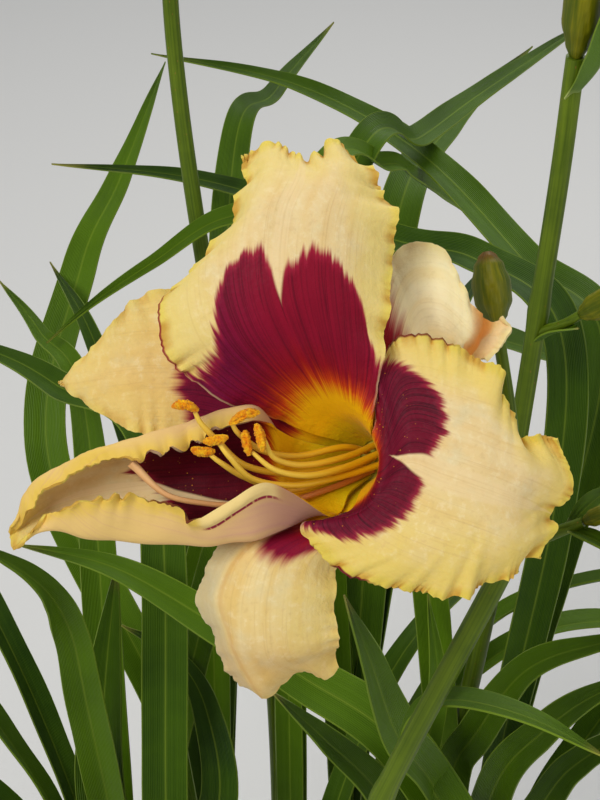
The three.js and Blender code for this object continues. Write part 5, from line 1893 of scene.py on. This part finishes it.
TEPALS = [
    Tepal(
        "petal_top", TepalKind.PETAL, 92,
        [
            [(17.5, 29, 2), (7, 31, 6), (-5, 33.5, 9), (-20, 31, 8), (-36, 22.5, 2)],
            [(18.5, 42.5, 4), (6, 46.5, 11), (-9, 47.5, 14), (-26, 49.5, 12), (-42, 43, 5)],
            [(21, 61, 3), (6, 63.5, 11), (-8, 64.5, 13), (-19, 64, 12), (-26.5, 57, 6)],
            [(16, 76, 1), (6, 77, 6), (-4, 75, 8), (-15, 76.5, 6), (-20.5, 72, 3)],
            [(10, 82, -3), (5, 86.5, -3), (-3.5, 81, -1), (-11, 86, -4), (-20.5, 81.5, -3)],
        ],
        TepalFace(
            "petal_top_face",
            eye_edge=(
                (-1, 0.415), (-0.88, 0.425), (-0.81, 0.45), (-0.76, 0.505), (-0.66, 0.56), (-0.52, 0.605),
                (-0.4, 0.632), (-0.25, 0.645), (-0.1, 0.62), (0.03, 0.6), (0.15, 0.62), (0.25, 0.635),
                (0.3, 0.63), (0.4, 0.59), (0.5, 0.54), (0.6, 0.48), (0.7, 0.45), (0.8, 0.43), (1, 0.425),
            ),
            throat_edge=((-1, 0.305), (0, 0.33), (1, 0.305)),
            plum_side=((-1, 0.1), (0, 0), (0.4, 0.25), (0.7, 0.8), (1, 1)),
            sunny_side=((-1, 0.3), (-0.3, 0), (0.3, 0), (0.7, 0.6), (1, 0.8)),
            rib=((0, 0.05, 0), (0.49, 0.06, 0), (0.56, 0.05, 0.04), (0.64, 0.045, 0.085), (1, 0.04, 0.03)),
            picotee_right=((0, 0), (0.4, 0), (0.44, 0.9), (0.56, 0.9), (0.6, 0), (1, 0)),
        ),
        ruffle=1.8, waves=6.5, flounce=1.1, frill_tip=1.5,
        frill_left=((0, 0.3), (0.52, 0.3), (0.62, 0.6), (0.8, 1.1), (1, 1.3)),
    ),
    Tepal(
        "petal_right", TepalKind.PETAL, -20,
        [
            [(-4.5, -19, 0), (14, -14.5, 3), (24, -0.5, 3), (23.5, 15.5, 2), (19.5, 31.5, -4)],
            [(8.5, -30.5, 4), (24.5, -21.5, 8), (33.5, -3.5, 8), (35.5, 15, 7), (36.5, 31.5, -1)],
            [(32, -36.5, 4), (37.5, -24, 9), (44, -7, 9), (45.5, 9, 8), (49, 23, 1)],
            [(50.5, -31.5, 1), (52.5, -22.5, 6), (54.5, -11, 5), (56.5, 0, 6), (52, 8.5, 1)],
            [(58.5, -25.5, -2), (64.5, -18.5, -3), (63, -14.5, -5), (69, -8, -2), (64, 6, -1)],
        ],
        TepalFace(
            "petal_right_face",
            eye_edge=(
                (-1, 0.42), (-0.75, 0.485), (-0.5, 0.5), (-0.25, 0.52), (-0.12, 0.515), (0.12, 0.52),
                (0.25, 0.55), (0.4, 0.545), (0.5, 0.535), (0.6, 0.515), (0.7, 0.49), (0.8, 0.445),
                (0.9, 0.415), (1, 0.39),
            ),
            throat_edge=((-1, 0.24), (0.4, 0.24), (0.6, 0.26), (1, 0.27)),
            plum_side=((-1, 0.25), (0, 0.1), (1, 0.2)),
            sunny_side=((-1, 0.9), (-0.5, 0.75), (-0.2, 0.3), (0.3, 0), (0.7, 0.3), (1, 0.6)),
            rib=(
                (0, 0.3, 0), (0.32, 0.3, 0), (0.35, 0.2, 0.02), (0.38, 0.1, 0.035), (0.43, 0.02, 0.065),
                (0.5, 0, 0.1), (1, 0, 0.03),
            ),
            picotee_left=((0, 0), (0.52, 0), (0.55, 1), (0.59, 1), (0.62, 0), (1, 0)),
            picotee_right=((0, 0), (0.38, 0), (0.41, 0.9), (0.56, 0.8), (0.6, 0), (1, 0)),
            pollen=0.6, eye=tint(112, 6, 32), eye_deep=tint(52, 1, 16), straw=tint(229, 200, 102),
            margin=tint(220, 194, 78),
        ),
        ruffle=1.8, waves=6.5, flounce=1.25, crinkle_depth=6.5, lace=0.6, lace_pitch=2.4, frill_tip=0.5,
    ),
    Tepal(
        "petal_left", TepalKind.PETAL, 212,
        [
            [(-17.5, 11, 2), (-16.5, 14, -2), (-15, 5, -10), (-14, -5.5, -14), (-12.5, -14.5, -10),
             (-12.5, -19.5, 1), (-14.5, -5.5, 10)],
            [(-29.5, 6.5, 5.2), (-29.5, 12, 1.8), (-29, 4, -6), (-28.5, -6, -11), (-26, -15.5, -7),
             (-25.5, -22, 3), (-30.5, -15, 11)],
            [(-43, 1.5, 8), (-45, 7, 4), (-44.5, 0.5, -5), (-44, -7, -9), (-42.5, -16, -5), (-41, -22, 4),
             (-40.5, -11, 11)],
            [(-58, 0, 10), (-60, 2.5, 7), (-60, -3, -4), (-59, -9, -7), (-58.5, -16, -4), (-57, -20.5, 5),
             (-54.5, -9, 11)],
            [(-72, -8.5, 8), (-74.5, -5, 6), (-73.5, -9.5, 0), (-73, -13, -3), (-72, -16, 0),
             (-71.5, -18.5, 6), (-68, -12.5, 9)],
            [(-81.5, -18.5, 4), (-82.5, -17.5, 4), (-83, -19, 3), (-83, -20.5, 2), (-82.5, -21.8, 3),
             (-82, -23, 4), (-80.5, -22, 5)],
        ],
        TepalFace(
            "petal_left_face",
            eye_edge=(
                (-1, 0.66), (-0.6, 0.66), (-0.35, 0.665), (-0.2, 0.69), (-0.1, 0.66), (0.1, 0.62), (0.3, 0.6),
                (0.5, 0.56), (0.75, 0.48), (1, 0.46),
            ),
            throat_edge=((-1, 0.34), (1, 0.34)),
            rib=(
                (0, 0.2, 0), (0.42, 0.22, 0), (0.5, 0.2, 0.03), (0.58, 0.12, 0.05), (0.66, 0, 0.07),
                (1, 0, 0.03),
            ),
            pollen=0.9, pollen_end=0.72, eye=tint(92, 5, 24), eye_deep=tint(54, 2, 14),
            picotee_right=((0, 0), (0.5, 0), (0.53, 0.9), (0.64, 0.8), (0.7, 0), (1, 0)), rib_share=0.85,
        ),
        ruffle=1.2, waves=5, flounce=1.5, flounce_pitch=7.2, lace=0.35, scallop=0.9,
        crinkle_depth=2.6, across=130, buckle=0.8,
        frill_left=((0, 0), (0.42, 0.1), (0.5, 1.3), (0.62, 1.3), (0.72, 0.8), (0.92, 0.6), (1, 0.2)),
        frill_right=((0, 0), (0.5, 0), (0.57, 1), (0.9, 0.8), (1, 0.2)), frill_tip=0.25,
        roll=((0, 0), (0.34, 0), (0.39, 1), (0.49, 1), (0.54, 0), (1, 0)),
    ),
    Tepal(
        "sepal_upper_left", TepalKind.SEPAL, 152,
        [
            [(-31.5, 44.5, -19), (-30, 34.5, -17), (-28.5, 23, -16), (-27.5, 12, -19), (-26, 1.5, -22)],
            [(-50, 45.5, -20), (-47, 37, -17), (-45.5, 25, -16), (-44.5, 15, -18), (-44.5, 5.5, -21)],
            [(-60, 34.5, -20), (-61, 29, -19), (-59.5, 23.5, -18), (-59, 17, -19), (-58.5, 10.5, -21)],
            [(-73, 22.2, -24), (-73.5, 21.7, -24), (-74, 21.2, -24), (-73.5, 20.7, -24), (-73, 20.2, -24)],
        ],
        TepalFace(
            "sepal_upper_left_face",
            eye_edge=((-1, 0.5), (-0.5, 0.53), (-0.3, 0.58), (0, 0.6), (0.3, 0.61), (0.6, 0.59), (1, 0.52)),
            feather=0.013, softness=0.022, gold=0.5, ground=tint(232, 198, 124), blush=tint(226, 186, 104),
            eye=tint(112, 10, 48), eye_deep=tint(70, 4, 34),
        ),
        ruffle=0.8, waves=4.5, flounce=0.9, lace=0.25, across=60, along=120,
    ),
    Tepal(
        "sepal_upper_right", TepalKind.SEPAL, 32,
        [
            [(32, 19.5, -19), (28.5, 29.5, -15), (25.5, 39, -13), (23.2, 47.5, -13), (20.3, 55.5, -15)],
            [(37.5, 25, -15), (35.5, 33.5, -12), (33.5, 43, -10), (33.6, 51, -11), (34.5, 58.5, -14)],
            [(39.5, 30.5, -9), (41, 32.5, -7), (42, 35.5, -6), (42, 39.5, -6), (41.5, 43, -8)],
            [(42, 29, -15), (44, 31, -15), (45.5, 33.5, -15), (47.5, 35.5, -15), (48.5, 38, -15)],
            [(47, 27, -12), (50, 30, -11), (52.5, 33, -11), (53.5, 36, -12), (51.5, 39.5, -13)],
        ],
        TepalFace(
            "sepal_upper_right_face",
            eye_edge=((-1, 0.42), (0, 0.4), (1, 0.4)),
            feather=0.008, softness=0.025, gold=0.3, ground=tint(248, 232, 186), blush=tint(240, 216, 158),
            # painted orange shade inside the curled tip
            curl_shade=((0, 0), (0.68, 0), (0.8, 0.85), (0.88, 0.3), (1, 0)), orange=tint(222, 126, 14),
            vein=tint(214, 190, 134),
        ),
        ruffle=0.6, waves=4.5, flounce=0.7, lace=0.25, across=60, along=120,
    ),
    Tepal(
        "sepal_lower", TepalKind.SEPAL, 272,
        [
            [(-24.5, -22.5, -9), (-16.5, -23.5, -3), (-9, -25, -3), (-1.5, -27, -4), (6, -28.5, -8)],
            [(-33, -36.5, -12), (-24.5, -36, -2), (-13.5, -36.5, 0), (-4.5, -38, -2), (4.5, -38.5, -7)],
            [(-28.5, -51.5, -16), (-22, -50.5, -5), (-13.5, -51.5, -4), (-4.5, -51.5, -6), (5.5, -49, -10)],
            [(-22.5, -63.5, -22), (-17, -62.5, -14), (-9.5, -58.5, -13), (-2, -57, -14), (5.5, -54, -17)],
            [(-18.5, -67, -27), (-14.5, -68, -22), (-5, -60.5, -22), (2.5, -62.5, -22), (5.5, -58.5, -21)],
        ],
        TepalFace(
            "sepal_lower_face",
            eye_edge=(
                (-1, 0.34), (-0.6, 0.37), (-0.45, 0.43), (-0.2, 0.46), (0.2, 0.45), (0.5, 0.39), (1, 0.34),
            ),
            feather=0.009, softness=0.03, gold=0.3, ground=tint(234, 206, 144), blush=tint(224, 184, 104),
            # painted orange shade where the tip curls under
            curl_shade=((0, 0), (0.62, 0), (0.8, 0.25), (1, 0.15)), orange=tint(216, 152, 66),
            sunny_side=((-1, 0), (0, 0.2), (0.6, 0.6), (1, 0.8)),
            # painted skylight on the left strip, which turns up to the sky
            skylit_side=((-1, 0.65), (-0.75, 0.5), (-0.62, 0.1), (-0.5, 0), (1, 0)),
            # painted shade in the crease where the left strip folds back
            crease_shade=((-1, 0), (-0.64, 0), (-0.59, 0.32), (-0.53, 0.1), (-0.4, 0), (1, 0)),
            eye=tint(138, 12, 46), eye_deep=tint(104, 6, 40),
        ),
        ruffle=0.8, waves=4.5, flounce=0.4, lace=0.25, across=60, along=120,
    ),
]

STAMENS = [
    Stamen((90, 3.4), [(8, 0.5, -13), (-3.5, -1.5, -4), (-11.5, 0.5, 2.5), (-14.6, 6, 7.2)],
           [(-16.6, 10, 8.8), (-15.4, 6.6, 8.4), (-14.8, 2.5, 8.2)]),
    Stamen((30, 3.4), [(8, -2.2, -10.5), (-2.5, -4.2, -1.5), (-11.5, -2.5, 4.2), (-17.8, 2.4, 6)],
           [(-19.6, 8.2, 6.8), (-19.2, 5.5, 6.8), (-18.4, 1.4, 6.8)]),
    Stamen((150, 3.4), [(7, 3, -16), (-5.5, 0.8, -9), (-15, 2.5, -1.5), (-21, 7, 5), (-23, 10, 8.3)],
           [(-23.5, 9.8, 9.8), (-19.5, 12.4, 11), (-15.5, 13, 10)]),
    Stamen((-30, 3.4), [(6, -5, -10.5), (-6.5, -7, -3), (-17.5, -5, 3.2), (-23.5, 1, 8.2), (-26.5, 5, 9.5)],
           [(-30.5, 5.2, 9.5), (-27.5, 5.5, 10.3), (-23.8, 6.5, 10.5)]),
    Stamen((0, 0), [(4.5, -5.2, -13.5), (-9, -8.6, -7), (-20, -4.5, 0), (-26, -0.6, 4.3), (-29.5, 2.2, 5.5)],
           [(-34, 3.2, 5), (-31, 2.4, 5.6), (-27.5, 2.6, 5.6)]),
    Stamen((210, 3.4), [(5.5, -3, -16.5), (-8.5, -4, -8.5), (-20, -1.2, 1.8), (-27, 5.5, 6.5), (-31, 10, 10),
                        (-32.5, 13, 12)],
           [(-38.5, 14.5, 13), (-35, 15, 14), (-31.5, 13.5, 13)]),
]

PISTIL = Pistil((-95, 3.6), [
    (6, -7.5, -15), (-8, -11.5, -7.5), (-20, -12.3, -3.5), (-30, -11.8, -0.5), (-41, -9, 3), (-50, -0.5, 5),
])

SCAPE_FOOT = 170

SCAPES = [
    Scape(
        "scape_main",
        Stalk(
            [(0, -75, SCAPE_FOOT), (4, -86, 350), (18, -104, 490), (35.5, -112, 581), (70, -101, 676),
             (74, -99, 690)],
            [4.6, 4.4, 4.1, 3.8, 3.5, 3.4],
        ),
        [
            Stalk([(73, -99.5, 687), (73, -88, 704), (63, -83, 714),
                   THROAT.below_tube(6), THROAT.below_tube(0.3)], [2.6, 2.4, 2.8]),
            Stalk([(73, -99, 686), (74, -82, 712), (68.4, -60, 744)], [2.2, 1.9, 1.9],
                  Bud("bud_main", 22, 6)),
            Stalk([(73, -99, 686), (84, -104, 697), (93, -105, 703)], [2.4, 2, 1.6], Bud("bud_tip", 11, 2.8)),
        ],
        [
            (9, [(36.5, -111, 584), (41, -106, 596), (47, -100, 612), (60, -104, 623), (82, -115, 627),
                 (106, -127, 622)]),
            (7, [(74, -98, 684), (80, -96, 694), (84, -93, 706)]),
            (6, [(89, -104.5, 700), (96, -112, 702), (104, -118, 701)]),
            (6, [(89, -104.5, 700), (96, -98, 704), (104, -92, 706)]),
        ],
        nodes=(0.607, 0.93),
    ),
    Scape(
        "scape_right",
        Stalk(
            [(60, 60, SCAPE_FOOT), (82, 62, 380), (95, 63, 520), (104, 64, 700), (106, 64, 772)],
            [4.6, 4.4, 4.2, 3.8, 3.6], Bud("bud_right_top", 44, 7),
        ),
        [
            Stalk([(101, 63.5, 652), (110, 57, 660), (117, 53, 668)], [2.2, 1.9, 1.9],
                  Bud("bud_right_side", 26, 5.5)),
        ],
        [
            (13, [(106, 63, 756), (114, 56, 776), (116, 52, 806)]),
            (8, [(101, 63.5, 646), (108, 58, 656), (116, 50, 664)]),
        ],
        nodes=(0.69,),
    ),
    Scape(
        "scape_left",
        Stalk(
            [(-2, 104, SCAPE_FOOT), (-8, 140, 400), (-38, 200, 590), (-50, 232, 690), (-51, 240, 765)],
            [4.6, 4.4, 4, 3.8, 3.6], Bud("bud_left_top", 40, 7),
        ),
        [
            Stalk([(-51, 239, 756), (-58, 236, 770), (-64, 233, 782)], [2.2, 1.9, 1.9],
                  Bud("bud_left_side", 24, 5)),
        ],
        [
            (13, [(-51, 240, 750), (-43, 231, 772), (-39, 227, 800)]),
            (12, [(-51, 240, 754), (-62, 230, 764), (-72, 222, 776)]),
        ],
    ),
]


@dataclass
class Bloom:
    """The open flower: tube, six tepals, six stamens and the pistil."""

    clearance: float = 92               # leaves stay this far from its middle

    def space(self) -> Space:
        """Gives the room that the leaves leave to it."""
        return Space("bloom", self.clearance, np.array([THROAT.centre], dtype=float))

    def build(self) -> list[Piece]:
        """Builds every piece of the flower.

        Returns:
            The pieces.
        """
        dashes = ((0, 0), (0.34, 0), (0.37, 1), (0.5, 1), (0.53, 0), (1, 0))
        backs = {
            TepalKind.PETAL: TepalBack("petal_back", dashes=dashes),
            TepalKind.SEPAL: TepalBack("sepal_back", cast=tint(206, 172, 116), foot=tint(186, 160, 84)),
        }
        finishes = {kind: back.build() for kind, back in backs.items()}
        pieces = [FloralTube().build()]
        pieces += [tepal.build(finishes[tepal.kind]) for tepal in TEPALS]
        thread = Threads("filament_skin", tint(230, 172, 10), tint(248, 206, 76)).build()
        pollen = Pollen().build()
        pieces += [stamen.build(f"stamen_{i + 1}", thread, pollen) for i, stamen in enumerate(STAMENS)]
        return [*pieces, PISTIL.build()]


# ---------------------------------------------------------------- studio


@dataclass
class Studio:
    """Camera, soft light and a plain pale floor."""

    eye: Triple = (8.1, -476.6, 1039.8)
    down: float = 38                    # degrees that the camera looks down
    lens: float = 75
    floor_size: float = 60
    floor_colour: tuple = tint(226, 224, 219)

    def camera(self) -> None:
        """Sets up the camera."""
        data = bpy.data.cameras.new("camera")
        data.lens = self.lens
        data.clip_start = 0.01
        camera = bpy.data.objects.new("camera", data)
        camera.location = Vector(self.eye) * MM
        camera.rotation_euler = (math.radians(90 - self.down), 0, 0)
        bpy.context.scene.collection.objects.link(camera)
        bpy.context.scene.camera = camera

    def light(self, name: str, place: Triple, target: Triple, size: float, power: float) -> None:
        """Hangs one large soft light.

        Args:
            name: The light's name.
            place: Where it hangs, in metres.
            target: Where it points.
            size: Its width in metres.
            power: Watts.
        """
        data = bpy.data.lights.new(name, "AREA")
        data.shape = "DISK"
        data.size = size
        data.energy = power
        lamp = bpy.data.objects.new(name, data)
        lamp.location = place
        lamp.rotation_euler = (Vector(target) - Vector(place)).to_track_quat("-Z", "Y").to_euler()
        bpy.context.scene.collection.objects.link(lamp)

    def build(self) -> None:
        """Sets up camera, lights, sky and floor."""
        self.camera()
        middle = (0.02, -0.1, 0.65)
        self.light("key", (-0.9, -1.1, 2.1), middle, 1.1, 25)
        self.light("fill", (1.4, -1.0, 1.3), middle, 1.4, 6)
        self.light("back", (0.4, 1.5, 1.9), middle, 1.2, 16)
        world = bpy.data.worlds.new("soft_sky")
        world.use_nodes = True
        sky = next(n for n in world.node_tree.nodes if n.bl_idname == "ShaderNodeBackground")
        sky.inputs["Color"].default_value = tint(236, 240, 246)
        sky.inputs["Strength"].default_value = 0.40
        bpy.context.scene.world = world
        bpy.context.scene.view_settings.view_transform = "Standard"
        Workbench.clear()
        bpy.ops.mesh.primitive_plane_add(size=self.floor_size)
        floor = bpy.context.object
        floor.name = "floor"
        shade = Shade("studio_floor", Specular_IOR_Level=0.2)
        shade.surface.inputs["Base Color"].default_value = self.floor_colour
        shade.surface.inputs["Roughness"].default_value = 0.85
        floor.data.materials.append(shade.material)


def main() -> None:
    """Builds the plant piece by piece and sets it in the studio."""
    logging.basicConfig(level=logging.INFO, format="%(message)s")
    Studio().build()
    pot = NurseryPot()
    bloom = Bloom()
    pot.build()
    SoilFill(pot).build()
    radius = pot.outside(pot.height)
    turns = [TURN * i / 48 for i in range(48)]
    rim = [(radius * math.cos(turn), radius * math.sin(turn), pot.height) for turn in turns]
    standing = [
        Space.round_curve(scape.name, vectors(scape.stem.points), scape.stem.radii[0]) for scape in SCAPES
    ]
    standing += [bloom.space(), Space("pot", 6, np.array(rim))]
    foliage = Foliage(FANS)
    foliage.grow(standing)
    foliage.build()
    leaf_skins = [bpy.data.materials[name] for name in ("leaf_face", "leaf_back")]
    skins = (ScapeSkin().build(), BudSkin().build(), *leaf_skins)
    for scape in SCAPES:
        scape.build(*skins)
    bloom.build()


if __name__ == "__main__":
    main()
